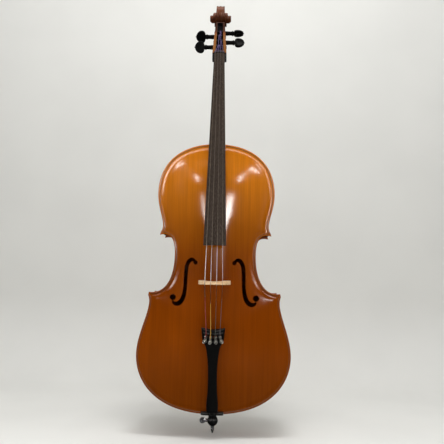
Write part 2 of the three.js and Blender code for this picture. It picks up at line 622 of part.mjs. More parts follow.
// ---------------------------------------------------------------- bass bar and sound post
const BASS_BAR = { x: -25, halfWidth: 5.5, from: 102, to: 679, depth: 22 };
const POST = { x: 26, z: BRIDGE_Z - 14, radius: 5.5 };
function bassBar() {
  const { x, halfWidth, from, to, depth } = BASS_BAR;
  const [keelEnd, top] = [EDGE_Y + 4, EDGE_Y - 40];
  const deepest = P(keelEnd + depth - 6, (from + to) / 2);
  const keel = new THREE.QuadraticBezierCurve(P(keelEnd, from), deepest, P(keelEnd, to));
  return sideSlab([...keel.getPoints(8), P(top, to), P(top, from)], halfWidth).translate(x, 0, 0);
}
piece("bass_bar", cut(bassBar(), beforeInnerFace), BARE_SPRUCE);
const behindBack = beforeInnerFace.clone().rotateZ(Math.PI);
const postBlank = rod(V(POST.x, EDGE_Y - 30, POST.z), V(POST.x, 30 - EDGE_Y, POST.z), POST.radius, 14);
piece("sound_post", cut(postBlank, beforeInnerFace, behindBack), BARE_SPRUCE);

// ---------------------------------------------------------------- bridge
const BRIDGE = { feet: 90, crown: 64, radius: 62, feetThickness: 11, crownThickness: 2.8 };
const CROWN_Y = EDGE_Y - ARCH - BRIDGE_HEIGHT;
const bridgeTop = (x) => CROWN_Y + arcDrop(BRIDGE.radius, x);
const crownHeight = (x) => BRIDGE_HEIGHT - arcDrop(BRIDGE.radius, x);

// The bridge from the front: points are (x, height over the belly's ridge). The feet reach below it.
const FEET_BELOW = -9;
function bridgeOutline() {
  const side = new THREE.Path();
  side.moveTo(BRIDGE.feet / 2, FEET_BELOW);
  side.lineTo(BRIDGE.feet / 2, 1);
  side.bezierCurveTo(42, 6, 36, 8, 34, 25); // up the leg
  side.bezierCurveTo(33, 32, 39, 33, 40, 38); // the knee
  side.bezierCurveTo(42, 46, 30, 46, 29, 55); // in to the waist
  side.bezierCurveTo(28, 64, 32, 72, BRIDGE.crown / 2, crownHeight(BRIDGE.crown / 2));
  const half = side.getPoints(4);
  const crown = [0.6, 0.3, 0, -0.3, -0.6].map((share) => {
    const x = (share * BRIDGE.crown) / 2;
    return P(x, crownHeight(x));
  });
  const arch = new THREE.CubicBezierCurve(P(-25, 3), P(-22, 40), P(22, 40), P(25, 3)).getPoints(8);
  const legs = [P(-25, FEET_BELOW), ...arch, P(25, FEET_BELOW)];
  const shape = new THREE.Shape([...half, ...crown, ...mirrored(half), ...legs]);
  const heart = new THREE.Path();
  heart.moveTo(0, 46);
  heart.bezierCurveTo(10, 50, 13, 62, 6, 62);
  heart.bezierCurveTo(3, 62, 1.5, 60, 0, 57);
  heart.bezierCurveTo(-1.5, 60, -3, 62, -6, 62);
  heart.bezierCurveTo(-13, 62, -10, 50, 0, 46);
  const kidney = (x) => new THREE.Path().absellipse(x, 40, 8, 4.4, 0, 2 * Math.PI);
  shape.holes.push(heart, kidney(23), kidney(-23));
  return shape;
}
function bridge() {
  const { feetThickness, crownThickness } = BRIDGE;
  const settings = { depth: 40, bevelEnabled: false, curveSegments: 4 };
  const blank = new THREE.ExtrudeGeometry(bridgeOutline(), settings);
  blank.translate(0, 0, -settings.depth / 2).rotateX(Math.PI).translate(0, EDGE_Y - ARCH, BRIDGE_Z);
  const rear = BRIDGE_Z - feetThickness / 2; // the face towards the tailpiece is square to the belly
  const [footY, topY] = [EDGE_Y - ARCH, CROWN_Y];
  const [below, above] = [footY + 20, topY - 5];
  const wedge = [P(below, rear), P(above, rear), P(above, rear + crownThickness)];
  wedge.push(P(topY, rear + crownThickness), P(footY, rear + feetThickness));
  wedge.push(P(below, rear + feetThickness));
  return cut(common(blank, sideSlab(wedge, 60)), behindOuterFace);
}
piece("bridge", bridge(), BARE_MAPLE);

// ---------------------------------------------------------------- saddle
function saddle() {
  const { halfWidth, height, rise, edgeOut } = SADDLE;
  const [top, floor] = [EDGE_Y - rise, -HALF_RIB - GAP];
  const crest = new THREE.QuadraticBezierCurve(P(EDGE_Y, height), P(top - 3, height), P(top, 1));
  const foot = [P(top + 2, -edgeOut), P(floor, -edgeOut), P(floor, height)];
  const outline = [...crest.getPoints(4), ...foot];
  return sideSlab(outline, halfWidth);
}
piece("saddle", saddle(), EBONY);

// ---------------------------------------------------------------- the frame that the tailpiece is built in
// Its y = 0 is the straight pull of the strings, from the bridge's crown to the saddle's top, and its z
// runs up along that pull from the tailpiece's upper end.
const SADDLE_TOP = P(EDGE_Y - SADDLE.rise - 2.9, 1);
const PULL_ANGLE = Math.atan2(SADDLE_TOP.x - CROWN_Y, BRIDGE_Z - SADDLE_TOP.y);
const TAIL = { z: 235, length: 233, radius: 45, edge: { upper: 4.5, lower: 8.5 } };
const TAIL_TILT = 0.055; // how fast the tailpiece's face comes forward of the pull, in mm per mm
const FRET = { z: -11, rise: 4.8, halfWidth: 1.5 };
const tail = new THREE.Group();
tail.position.z = TAIL.z;
tail.position.y = THREE.MathUtils.mapLinear(TAIL.z, BRIDGE_Z, SADDLE_TOP.y, CROWN_Y, SADDLE_TOP.x);
tail.rotation.x = PULL_ANGLE;
body.add(tail);
tail.updateMatrix();
const fromTail = (x, y, z) => V(x, y, z).applyMatrix4(tail.matrix);

// The tailpiece's face, x from its middle and z down from its upper end.
const tailFace = (x, z) => FRET.rise + 0.8 + TAIL_TILT * (z - FRET.z) + arcDrop(TAIL.radius, x);

// ---------------------------------------------------------------- tailpiece
// Stations along the tailpiece as [distance from the upper end, half width].
const TAIL_WIDTHS = [
  [0, 32.5], [14, 31.3], [30, 29.5], [39, 26.8], [46, 21.8], [55, 18.4], [68, 16.4], [94, 13.4],
  [135, 12.2], [175, 13], [213, 16], [229, 15.4], [233, 12.5],
];
const TUNER_ROOM = { from: 7, to: 38.6, halfWidth: [25.5, 24.6], shell: 5 };
const GUT = { radius: 1.6, x: 6, depth: 22, loopZ: -13 }; // its two ends are let into the tailpiece

function tailpiece() {
  const rings = TAIL_WIDTHS.map(([distance, half]) => {
    const z = -distance;
    const top = range(7).map((k) => half * Math.cos((Math.PI * k) / 6));
    const edge = THREE.MathUtils.lerp(TAIL.edge.upper, TAIL.edge.lower, distance / TAIL.length);
    const underside = tailFace(half, z) + edge;
    return [
      ...top.map((x) => V(x, tailFace(x, z), z)),
      V(-half * 0.8, underside, z),
      V(half * 0.8, underside, z),
    ];
  });
  const dish = rod(V(0, -40, 36), V(0, 60, 36), 40, 32); // hollows the upper end by 4 mm
  return cut(skin(rings), tunerRoom(), dish);
}
// The hollow under the upper end. Its roof follows the face, one shell thickness below it.
function tunerRoom() {
  const { from, to, halfWidth, shell } = TUNER_ROOM;
  const rings = [-from, -to].map((z, end) => {
    const half = halfWidth[end];
    const roof = range(9).map((k) => half * (1 - k / 4));
    return [...roof.map((x) => V(x, tailFace(x, z) + shell, z)), V(-half, 60, z), V(half, 60, z)];
  });
  return skin(rings);
}
function tailpieceFret() {
  const span = 27;
  const rings = range(9).map((k) => {
    const x = span * (1 - k / 4);
    const [foot, crest] = [tailFace(x, FRET.z) - GAP, tailFace(x, FRET.z) - FRET.rise];
    const shape = [[foot, -1], [foot, 1], [crest + 1, 1], [crest + 1, -1]];
    const edge = shape.map(([y, side]) => V(x, y, FRET.z + side * FRET.halfWidth));
    edge.splice(3, 0, V(x, crest, FRET.z));
    return edge;
  });
  return skin(rings);
}

// ---------------------------------------------------------------- fine tuners
// Each tuner's place on the tailpiece and how far it splays towards its screw.
const TUNERS = Object.fromEntries(
  STRING_ORDER.map((name, i) => {
    const x = TAIL_SPAN * (i / 3 - 0.5);
    return [name, { x, splay: -x / 1.8 }]; // the splay is in degrees
  }),
);
const TUNER_Z = -19;
const TUNER_SLOT = { halfWidth: 4.5, from: 2.2, to: -7.4 };
const SCREW = { z: -15, radius: 1.7, head: 4.4, headFrom: -9.5, headTo: -5.3, tip: 6 };
const PIVOT = { y: 8, z: -4.6, radius: 1.4, halfLength: 4.1 };
const HOOK_Y = -4; // height of the string's end over the face

function tunerBracket() {
  const outline = new THREE.Shape();
  outline.moveTo(-3.9, -5.4);
  outline.lineTo(-5.4, SCREW.z + 1.5);
  outline.absarc(0, SCREW.z, 5.5, Math.PI - 0.25, 2 * Math.PI + 0.25, false);
  outline.lineTo(3.9, -5.4);
  const face = slab(outline.getPoints(4), -1.7, -GAP);
  const ears = [-1, 1].map((side) => block(1.1, 12.3, 4.4, side * 3.35, 4.45, -4.6));
  const boss = rod(V(0, -1, SCREW.z), V(0, -4.9, SCREW.z), 3.2, 10);
  const hole = rod(V(0, -9, SCREW.z), V(0, 5, SCREW.z), SCREW.radius + GAP, 10);
  const pinHole = rod(V(-9, PIVOT.y, PIVOT.z), V(9, PIVOT.y, PIVOT.z), PIVOT.radius + GAP, 10);
  return cut(join(face, ...ears, boss), hole, pinHole);
}
// The lever, about its own pin.
function tunerLever() {
  const side = [[-4.5, -3.2], [-5.5, -1.2], [-4.5, 0.8], [9.5, 0.8], [9.5, -17.5], [6.4, -17.5], [6.4, -3.2]];
  const plateSide = sideSlab(side.map(([y, z]) => P(y, z)), 2.3);
  const { y, z, radius, halfLength } = PIVOT;
  const pin = rod(V(-halfLength, y, z), V(halfLength, y, z), radius, 8);
  const groove = block(2.5, 6, 12, 0, -5.2, -1);
  return cut(join(plateSide, pin), groove).translate(0, -PIVOT.y, -PIVOT.z);
}
function tunerScrew() {
  const { radius, head, headFrom, headTo, tip } = SCREW;
  const dimple = [[0, headFrom + 1.2], [2, headFrom + 1.2], [2.3, headFrom]];
  const rim = [[head - 0.6, headFrom], [head, headFrom + 0.6], [head, headTo]];
  const shaft = [[radius, headTo], [radius, tip - 0.8], [radius - 0.8, tip], [0, tip]];
  return lathe([...dimple, ...rim, ...shaft], 14);
}

const tunerCutters = [];
for (const [name, { x, splay }] of Object.entries(TUNERS)) {
  const tuner = new THREE.Group();
  tuner.position.set(x, tailFace(x, TUNER_Z), TUNER_Z);
  tuner.rotation.order = "ZXY";
  const lean = Math.asin(x / TAIL.radius);
  tuner.rotation.set(-Math.atan(TAIL_TILT), THREE.MathUtils.degToRad(splay), lean);
  tail.add(tuner);
  piece(`tuner_bracket_${name}`, tunerBracket(), STEEL, tuner);
  piece(`tuner_lever_${name}`, tunerLever(), STEEL, tuner).position.set(0, PIVOT.y, PIVOT.z);
  piece(`tuner_screw_${name}`, tunerScrew(), STEEL, tuner).position.set(0, 0, SCREW.z);
  tuner.updateMatrix();
  const { halfWidth, from, to } = TUNER_SLOT;
  const slot = block(2 * halfWidth, 40, from - to, 0, 0, (from + to) / 2);
  const screwHole = rod(V(0, -20, SCREW.z), V(0, 20, SCREW.z), SCREW.radius + 0.7, 12);
  tunerCutters.push(slot.applyMatrix4(tuner.matrix), screwHole.applyMatrix4(tuner.matrix));
  TUNERS[name].hook = (y, z) => V(0, y, z).applyMatrix4(tuner.matrix).applyMatrix4(tail.matrix);
}
const gutHoleEnd = GUT.depth + 2 - TAIL.length;
const gutHoles = [-1, 1].map((side) =>
  rod(V(side * GUT.x, 0, gutHoleEnd), V(side * GUT.x, 0, -TAIL.length - 9), GUT.radius + 0.8, 10),
);
piece("tailpiece", cut(tailpiece(), ...tunerCutters, ...gutHoles), BLACK_FITTING, tail);
piece("tailpiece_fret", tailpieceFret(), EBONY, tail);

// ---------------------------------------------------------------- endpin, its collar and the tail gut
const ROD = { radius: 5, from: -53, to: 427 };
const THUMB = { z: COLLAR.bulbZ, radius: 3, paddleFrom: -20, paddleTo: -38, paddleHalf: 8.5, thickness: 4.5 };
function endpinCollar() {
  const { shank, bulb, bulbZ, rim, neck, lip, top } = COLLAR;
  const bore = ROD.radius + GAP;
  const seat = OVERHANG - GAP; // a lip that stands against the ribs
  const [first, last] = [Math.asin(rim / bulb), Math.PI - Math.asin(neck / bulb)];
  const ball = range(7).map((k) => {
    const turn = THREE.MathUtils.lerp(first, last, k / 6);
    return [bulb * Math.sin(turn), bulbZ - bulb * Math.cos(turn)];
  });
  const stem = [[neck, -8], [lip, -5], [lip, seat], [shank, seat], [shank - 1, top]];
  const shape = lathe([[bore, ball[0][1]], ...ball, ...stem, [bore, top], [bore, ball[0][1]]], 20);
  const screwHole = rod(V(0, 0, THUMB.z), V(-30, 0, THUMB.z), THUMB.radius + GAP, 14);
  return cut(shape.rotateX(Math.PI / 2), screwHole);
}
function thumbscrew() {
  const { radius, paddleFrom, paddleTo, paddleHalf, thickness } = THUMB;
  const shaft = rod(V(-ROD.radius - GAP, 0, 0), V(paddleFrom - 2, 0, 0), radius, 14);
  const collar = rod(V(-COLLAR.bulb - 1, 0, 0), V(paddleFrom - 1, 0, 0), radius + 2, 14);
  const length = (paddleFrom - paddleTo) / 2;
  const paddle = new THREE.CylinderGeometry(1, 1, thickness, 16).scale(length, 1, paddleHalf);
  return join(shaft, collar, paddle.translate((paddleFrom + paddleTo) / 2, 0, 0));
}
piece("endpin_collar", endpinCollar(), BLACK_FITTING);
piece("thumbscrew", thumbscrew(), STEEL).position.z = THUMB.z;
piece("endpin_rod", rod(V(0, 0, ROD.from), V(0, 0, ROD.to), ROD.radius, 20), STEEL);
const point = rod(V(0, 0, ROD.from - GAP), V(0, 0, -SPIKE_TO_BODY), ROD.radius, 20, 0.8);
piece("endpin_tip", point, STEEL);

function tailGut() {
  const strand = (side) => [
    fromTail(side * GUT.x, 0, GUT.depth - TAIL.length),
    fromTail(side * GUT.x, 0, -1 - TAIL.length),
    V(side * 7, SADDLE_TOP.x, SADDLE_TOP.y),
    V(side * 7.3, SADDLE_TOP.x + 0.6, -3.8),
  ];
  const reach = COLLAR.neck + GAP + GUT.radius;
  const loop = range(7).map((k) => {
    const turn = (Math.PI * k) / 6;
    return V(reach * Math.cos(turn), reach * Math.sin(turn), GUT.loopZ);
  });
  return cord([...strand(1), ...loop, ...strand(-1).reverse()], GUT.radius, 8);
}
piece("tailgut", tailGut(), BLACK_CORD);

// ---------------------------------------------------------------- strings
const WINDING_X = { c: -5, g: -3.5, d: 3, a: 5 }; // where each string meets its peg
const BALL = { from: -5.4, to: -8.4, radius: 1.9 };
STRING_ORDER.forEach((name, i) => {
  const radius = STRING_RADIUS[name];
  const share = i / 3 - 0.5;
  const over = radius + GAP;
  const { hook } = TUNERS[name];
  const atPeg = inPegbox(PEGS[name].u, PEGS[name].v - PEG_RADIUS.outer - 0.6 - radius);
  const [nutX, bridgeX, tailX] = [NUT_SPAN, BRIDGE_SPAN, TAIL_SPAN].map((span) => span * share);
  const nutY = boardTop(nutX, NUT_Z) - NUT.rise - over;
  const points = [
    V(WINDING_X[name], atPeg.x, atPeg.y),
    V(nutX, nutY, NUT_Z + NUT.crest + 1.2),
    V(nutX, nutY, NUT_Z + 0.5),
    V(bridgeX, bridgeTop(bridgeX) - over, BRIDGE_Z - BRIDGE.feetThickness / 2 + BRIDGE.crownThickness),
    V(bridgeX, bridgeTop(bridgeX) - over, BRIDGE_Z - BRIDGE.feetThickness / 2),
    fromTail(tailX, tailFace(tailX, FRET.z) - FRET.rise - over, FRET.z),
    hook(HOOK_Y, 2),
    hook(HOOK_Y, BALL.from + 0.2),
    hook(HOOK_Y, BALL.from),
    hook(HOOK_Y, BALL.to),
  ];
  const radii = points.map((_, k) => (k >= points.length - 2 ? BALL.radius : radius));
  piece(`string_${name}`, cord(points, radii), STRING_METAL);
});

export default cello;
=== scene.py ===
import math

import bmesh
import bpy
import numpy as np
from mathutils import Matrix, Vector
from mathutils.geometry import delaunay_2d_cdt


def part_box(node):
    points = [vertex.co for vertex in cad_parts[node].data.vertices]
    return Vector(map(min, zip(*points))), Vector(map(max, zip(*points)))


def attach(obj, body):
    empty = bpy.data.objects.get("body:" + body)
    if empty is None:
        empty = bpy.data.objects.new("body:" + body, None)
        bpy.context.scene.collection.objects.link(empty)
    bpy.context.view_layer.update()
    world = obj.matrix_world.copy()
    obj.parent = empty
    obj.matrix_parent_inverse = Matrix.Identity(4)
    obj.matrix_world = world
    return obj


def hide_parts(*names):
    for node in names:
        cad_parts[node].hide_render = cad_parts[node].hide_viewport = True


# A full-size cello. Shapes are worked out in millimetres, in the body's own frame: x towards the treble side,
# y back from the middle of the ribs, z up from the lower end of the belly. place() takes them to the scene.
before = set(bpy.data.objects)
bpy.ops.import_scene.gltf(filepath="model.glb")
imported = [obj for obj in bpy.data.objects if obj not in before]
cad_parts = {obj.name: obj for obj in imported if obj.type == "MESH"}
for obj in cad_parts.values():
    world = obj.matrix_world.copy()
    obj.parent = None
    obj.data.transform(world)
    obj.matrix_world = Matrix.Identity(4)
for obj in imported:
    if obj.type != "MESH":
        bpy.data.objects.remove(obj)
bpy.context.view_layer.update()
MM = 0.001
TINY, SLIVER = 1e-9, 1e-7

# ------------------------------------------------------------------ driving dimensions
SPIKE_TO_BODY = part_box("back")[0].z / MM
BODY_LENGTH = 761
HALF_RIB = 58.5
EDGE_THICKNESS = 4.8
OVERHANG = 3.5
RIB_THICKNESS = 1.6
ARCH = 20.5
EDGE_Y = -(HALF_RIB + EDGE_THICKNESS)
BRIDGE_Z = BODY_LENGTH - 399
NUT_Z = BODY_LENGTH + 284
BOARD_END_Z = NUT_Z - 583
OVERSTAND = 20
NECK_SLOPE = 0.17
BOARD_EDGE = 6
BOARD_RADIUS = 62
BOARD_WIDTH = {"nut": 31, "bridge": 62}
BRIDGE_HEIGHT = 88
CROWN_Y = EDGE_Y - ARCH - BRIDGE_HEIGHT
NUT_SPAN, BRIDGE_SPAN, TAIL_SPAN = 22.5, 47, 37
STRING_RADIUS = {"c": 0.95, "g": 0.75, "d": 0.6, "a": 0.5}
STRINGS = ["c", "g", "d", "a"]


def lerp(a, b, share):
    return a + (b - a) * share


def smooth(value):
    value = np.clip(value, 0, 1)
    return value * value * (3 - 2 * value)


def arc_drop(radius, x):
    return radius - np.sqrt(radius * radius - np.minimum(np.square(x), radius * radius))


def board_underside(z):
    return EDGE_Y - OVERSTAND + NECK_SLOPE * (z - BODY_LENGTH)


def board_width(z):
    return lerp(BOARD_WIDTH["nut"], BOARD_WIDTH["bridge"], (NUT_Z - z) / (NUT_Z - BOARD_END_Z))


def board_top(x, z):
    crown = arc_drop(BOARD_RADIUS, board_width(z) / 2) - arc_drop(BOARD_RADIUS, x)
    return board_underside(z) - BOARD_EDGE - crown


# ------------------------------------------------------------------ meshes
def place(points):
    """Millimetres of the body's frame to metres of the scene."""
    return (np.asarray(points, float) + (0, 0, SPIKE_TO_BODY)) * MM


def make_object(name, points, faces, materials, face_materials=None, sharp=40):
    mesh = bpy.data.meshes.new(name)
    mesh.from_pydata(place(points).tolist(), [], [list(map(int, face)) for face in faces])
    shape = bmesh.new()
    shape.from_mesh(mesh)
    if face_materials is not None:
        for face, index in zip(shape.faces, face_materials):
            face.material_index = int(index)
    bmesh.ops.recalc_face_normals(shape, faces=shape.faces)
    shape.to_mesh(mesh)
    shape.free()
    for material in materials if isinstance(materials, list) else [materials]:
        mesh.materials.append(material)
    obj = bpy.data.objects.new(name, mesh)
    bpy.context.scene.collection.objects.link(obj)
    shade(obj, sharp)
    return obj


def shade(obj, sharp=40):
    obj.data.shade_smooth()
    obj.data.set_sharp_from_angle(angle=math.radians(sharp))


def apply_modifier(obj, kind, **settings):
    modifier = obj.modifiers.new(kind.lower(), kind)
    for key, value in settings.items():
        setattr(modifier, key, value)
    shown = bpy.context.evaluated_depsgraph_get()
    mesh = bpy.data.meshes.new_from_object(obj.evaluated_get(shown))
    obj.modifiers.clear()
    old = obj.data
    obj.data = mesh
    bpy.data.meshes.remove(old)


def cut(obj, *cutters, operation="DIFFERENCE"):
    for cutter in cutters:
        apply_modifier(obj, "BOOLEAN", operation=operation, solver="MANIFOLD", object=cutter)
        bpy.data.objects.remove(cutter)
    shade(obj)
    return obj


def join(obj, *others):
    return cut(obj, *others, operation="UNION")


def ring_faces(rings, count, closed=False):
    faces = []
    for r in range(rings if closed else rings - 1):
        after = (r + 1) % rings
        for i in range(count):
            j = (i + 1) % count
            faces.append((r * count + i, r * count + j, after * count + j, after * count + i))
    return faces


def loft(name, rings, materials, ring_material=None, sharp=40, closed=False):
    """A closed surface through rings of points that all have the same count."""
    rings = np.asarray(rings, float)
    rows, count = rings.shape[:2]
    points = rings.reshape(-1, 3)
    faces = ring_faces(rows, count, closed)
    kinds = [0 if ring_material is None else ring_material[i % count] for i in range(len(faces))]
    if not closed:
        centres = [rings[0].mean(0), rings[-1].mean(0)]
        for first, centre in zip([0, (rows - 1) * count], [len(points), len(points) + 1]):
            for i in range(count):
                faces.append((first + i, first + (i + 1) % count, centre))
                kinds.append(0)
        points = np.vstack([points, centres])
    return make_object(name, points, faces, materials, kinds, sharp)


def turning(count, start=0.0):
    return start + np.arange(count) * 2 * math.pi / count


def lathe(name, profile, centre, axis, material, sides=48, ripple=0, ripples=24, sharp=40):
    """A turned piece about an axis through centre, from points of (distance along the axis, radius)."""
    axis = Vector(axis).normalized()
    side = axis.orthogonal().normalized()
    other = axis.cross(side)
    turns = turning(sides)
    rings = []
    for along, radius in profile:
        radii = radius * (1 + ripple * np.cos(ripples * turns)) if ripple else np.full(sides, radius)
        spokes = np.outer(np.cos(turns), side) + np.outer(np.sin(turns), other)
        rings.append(np.array(centre) + np.array(axis) * along + spokes * radii[:, None])
    return loft(name, rings, material, sharp=sharp)


def drill(name, radius, start, end, centre, axis, material, sides=32):
    """A plain round rod along an axis through centre, from start to end."""
    profile = [(start, 0), (start, radius), (end, radius), (end, 0)]
    return lathe(name, profile, centre, axis, material, sides)


def circle_at(radius, turns, along, axis, centre=(0, 0)):
    """A circle across an axis, 1 for y and 2 for z, with its centre given in the other two directions."""
    flat = np.column_stack([centre[0] + radius * np.cos(turns), centre[1] + radius * np.sin(turns)])
    return np.insert(flat, axis, along, axis=1)


def section_at(x, section, shift=0.0):
    """A side view's points of (y, z), placed at x and shifted along z."""
    return np.insert(section + (0, shift), 0, x, axis=1)


def rounded(points, radius, steps, most):
    """A path with its corners rounded off, each over at most a share of the runs beside it."""
    path = [np.array(p, float) for p in points]
    result = [path[0]]
    for before, here, after in zip(path, path[1:], path[2:]):
        back, ahead = before - here, after - here
        runs = [max(np.linalg.norm(run), TINY) for run in (back, ahead)]
        reach = min(radius, runs[0] * most, runs[1] * most)
        start = here + back / runs[0] * reach
        end = here + ahead / runs[1] * reach
        for t in np.linspace(0, 1, steps + 1):
            result.append((1 - t) ** 2 * start + 2 * t * (1 - t) * here + t * t * end)
    return result + [path[-1]]


def rounded_profile(profile, radius=0.6, steps=3):
    """The same turned profile with its corners rounded off."""
    return rounded(profile, radius, steps, 0.45)


def bent(points, radius=1.2):
    """A path of straight runs with its corners rounded."""
    return np.array(rounded(points, radius, 5, 0.4))


def tube(name, path, radius, material, sides=14, sharp=50):
    """A round cord along a path, its radius one number or one for each point."""
    path = np.asarray(path, float)
    radii = np.broadcast_to(np.asarray(radius, float), len(path))
    tangents = np.gradient(path, axis=0)
    tangents /= np.linalg.norm(tangents, axis=1)[:, None]
    side = np.cross(tangents[0], (0.31, 0.2, 0.93) if abs(tangents[0][2]) < 0.9 else (1, 0.3, 0.2))
    rings = []
    turns = turning(sides)
    for point, along, r in zip(path, tangents, radii):
        side = side - along * side.dot(along)
        side /= np.linalg.norm(side)
        other = np.cross(along, side)
        rings.append(point + (np.outer(np.cos(turns), side) + np.outer(np.sin(turns), other)) * r)
    return loft(name, rings, material, sharp=sharp)


def slab(name, outline, near, far, material, axis=1):
    """A flat outline made into a slab between two places along an axis: 0 for x, 1 for y."""
    count = len(outline)
    layers = [np.insert(np.asarray(outline, float), axis, at, axis=1) for at in (near, far)]
    faces = ring_faces(2, count) + [tuple(range(count)), tuple(range(count, 2 * count))]
    return make_object(name, np.vstack(layers), faces, material)


def prism(name, outline, half, material, bevel=0.0, segments=2):
    """A side view drawn as points of (y, z), made into a slab from x = -half to x = half."""
    obj = slab(name, outline, -half, half, material, axis=0)
    if bevel:
        apply_modifier(obj, "BEVEL", width=bevel * MM, segments=segments, limit_method="ANGLE")
        shade(obj)
    return obj


def moved(obj, matrix):
    """The object's mesh, taken from a local frame in millimetres to the body's frame."""
    shift = Matrix.Translation((0, 0, SPIKE_TO_BODY * MM))
    local = matrix.copy()
    local.translation = matrix.translation * MM
    obj.data.transform(shift @ local @ shift.inverted())
    return obj


# ------------------------------------------------------------------ flat regions and plates
def inside(polygon, points):
    """Which points of (a, b) lie inside a closed polygon."""
    result = np.zeros(len(points), bool)
    x, y = points[:, 0], points[:, 1]
    for (ax, ay), (bx, by) in zip(polygon, np.roll(polygon, -1, axis=0)):
        if ay == by:
            continue
        crosses = (ay > y) != (by > y)
        result ^= crosses & (x < (bx - ax) * (y - ay) / (by - ay) + ax)
    return result


def distance_to(path, points, closed=False):
    """Distance from each point to a path of points."""
    starts = path if closed else path[:-1]
    ends = np.roll(path, -1, axis=0) if closed else path[1:]
    nearest = np.full(len(points), 1e9)
    for a, b in zip(starts, ends):
        along = b - a
        length = along @ along
        if length < 1e-12:
            continue
        t = np.clip(((points - a) @ along) / length, 0, 1)
        gap = points - a - t[:, None] * along
        nearest = np.minimum(nearest, np.einsum("ij,ij->i", gap, gap))
    return np.sqrt(nearest)


def resample(path, step):
    path = np.asarray(path, float)
    lengths = np.r_[0, np.cumsum(np.linalg.norm(np.diff(path, axis=0), axis=1))]
    stops = np.linspace(0, lengths[-1], max(2, round(lengths[-1] / step) + 1))
    return np.column_stack([np.interp(stops, lengths, path[:, k]) for k in range(path.shape[1])])


def normals_of(path):
    along = np.gradient(path, axis=0)
    along /= np.linalg.norm(along, axis=1)[:, None]
    return np.column_stack([-along[:, 1], along[:, 0]])


def inner_points(loop, steps, sign):
    """Points at the given distances inside a loop, left out where they come nearer to another stretch."""
    closed = np.vstack([loop, loop[:1]])
    normal = normals_of(closed)[:-1] * sign
    rows = []
    for step in steps:
        points = loop + normal * step
        rows.append(points[distance_to(closed, points) > step * 0.93])
    return np.vstack(rows)


def region(outline, holes, spacing, edge_steps=(), hole_steps=()):
    """Triangles that fill an outline less its holes. Returns points, triangles and the border's edges."""
    outline = np.asarray(outline, float)
    area = np.cross(outline, np.roll(outline, -1, axis=0)).sum()
    extra = []
    if len(edge_steps):
        extra.append(inner_points(outline, edge_steps, np.sign(area)))
    for hole in holes:
        turn = np.sign(np.cross(hole, np.roll(hole, -1, axis=0)).sum())
        if len(hole_steps):
            extra.append(inner_points(hole, hole_steps, -turn))
    low, high = outline.min(0), outline.max(0)
    rise = spacing * math.sqrt(3) / 2
    rows = np.arange(low[1], high[1], rise)
    half = np.arange(spacing / 4, max(abs(low[0]), abs(high[0])) + spacing, spacing)
    grid = []
    for k, b in enumerate(rows):
        a = half + (spacing / 2 if k % 2 else 0)
        grid.append(np.column_stack([np.r_[-a, a], np.full(2 * len(a), b)]))
    grid = np.vstack(grid)
    clear = (edge_steps[-1] if len(edge_steps) else 0) + spacing * 0.55
    grid = grid[inside(outline, grid)]
    grid = grid[distance_to(outline, grid, closed=True) > clear]
    clear = (hole_steps[-1] if len(hole_steps) else 0) + spacing * 0.4
    for hole in holes:
        grid = grid[distance_to(hole, grid, closed=True) > clear]
    loops = [outline, *holes]
    points = np.vstack(loops + extra + [grid])
    edges = []
    first = 0
    for loop in loops:
        count = len(loop)
        edges += [(first + i, first + (i + 1) % count) for i in range(count)]
        first += count
    made = delaunay_2d_cdt([Vector(p) for p in points], edges, [], 0, 1e-5)
    corners = np.array([tuple(p) for p in made[0]])
    triangles = np.array([face for face in made[2] if len(face) == 3])
    centres = corners[triangles].mean(1)
    keep = inside(outline, centres)
    for hole in holes:
        keep &= ~inside(hole, centres)
    triangles = triangles[keep]
    first, second, third = corners[triangles].transpose(1, 0, 2)
    turned = np.cross(second - first, third - first)
    full = np.abs(turned) > SLIVER
    triangles, turned = triangles[full], turned[full]
    triangles[turned < 0] = triangles[turned < 0][:, ::-1]
    pairs = set()
    for a, b, c in triangles.tolist():
        pairs |= {(a, b), (b, c), (c, a)}
    border = [(a, b) for a, b in pairs if (b, a) not in pairs]
    used, index = np.unique(triangles, return_inverse=True)
    renumber = {int(old): new for new, old in enumerate(used)}
    border = sorted((renumber[a], renumber[b]) for a, b in border)
    return corners[used], index.reshape(-1, 3), border


def round_off(distance, radius):
    """How far a rounded edge has dropped at a distance in from it."""
    short = np.clip(radius - distance, 0, radius)
    return radius - np.sqrt(np.maximum(radius * radius - short * short, 0))


def sheet(name, outline, holes, spacing, faces_at, materials, edge_steps=(), hole_steps=(), sharp=40):
    """A plate between two surfaces over a flat region. faces_at(points) gives its front and back points."""
    points, triangles, border = region(outline, holes, spacing, edge_steps, hole_steps)
    front, back = faces_at(points)
    count = len(points)
    faces = [*triangles.tolist(), *(triangles[:, ::-1] + count).tolist()]
    faces += [(b, a, a + count, b + count) for a, b in border]
    return make_object(name, np.vstack([front, back]), faces, materials, sharp=sharp)


def bezier(*corners, steps=24):
    a, b, c, d = (np.array(p, float) for p in corners)
    t = np.linspace(0, 1, steps + 1)[:, None]
    return (1 - t) ** 3 * a + 3 * (1 - t) ** 2 * t * b + 3 * (1 - t) * t * t * c + t**3 * d


def chain(*curves):
    """Curves end to end, as one path."""
    path = [np.atleast_2d(np.asarray(curve, float)) for curve in curves]
    joined = np.vstack(path)
    keep = np.r_[True, np.linalg.norm(np.diff(joined, axis=0), axis=1) > 1e-6]
    return joined[keep]


def arc(centre, radius, start, end, steps=16):
    turns = np.linspace(start, end, steps + 1)
    return np.array(centre) + radius * np.column_stack([np.cos(turns), np.sin(turns)])


def across(path):
    """A path on the treble side, mirrored to the bass side and turned round."""
    return (np.asarray(path) * (-1, 1))[::-1]


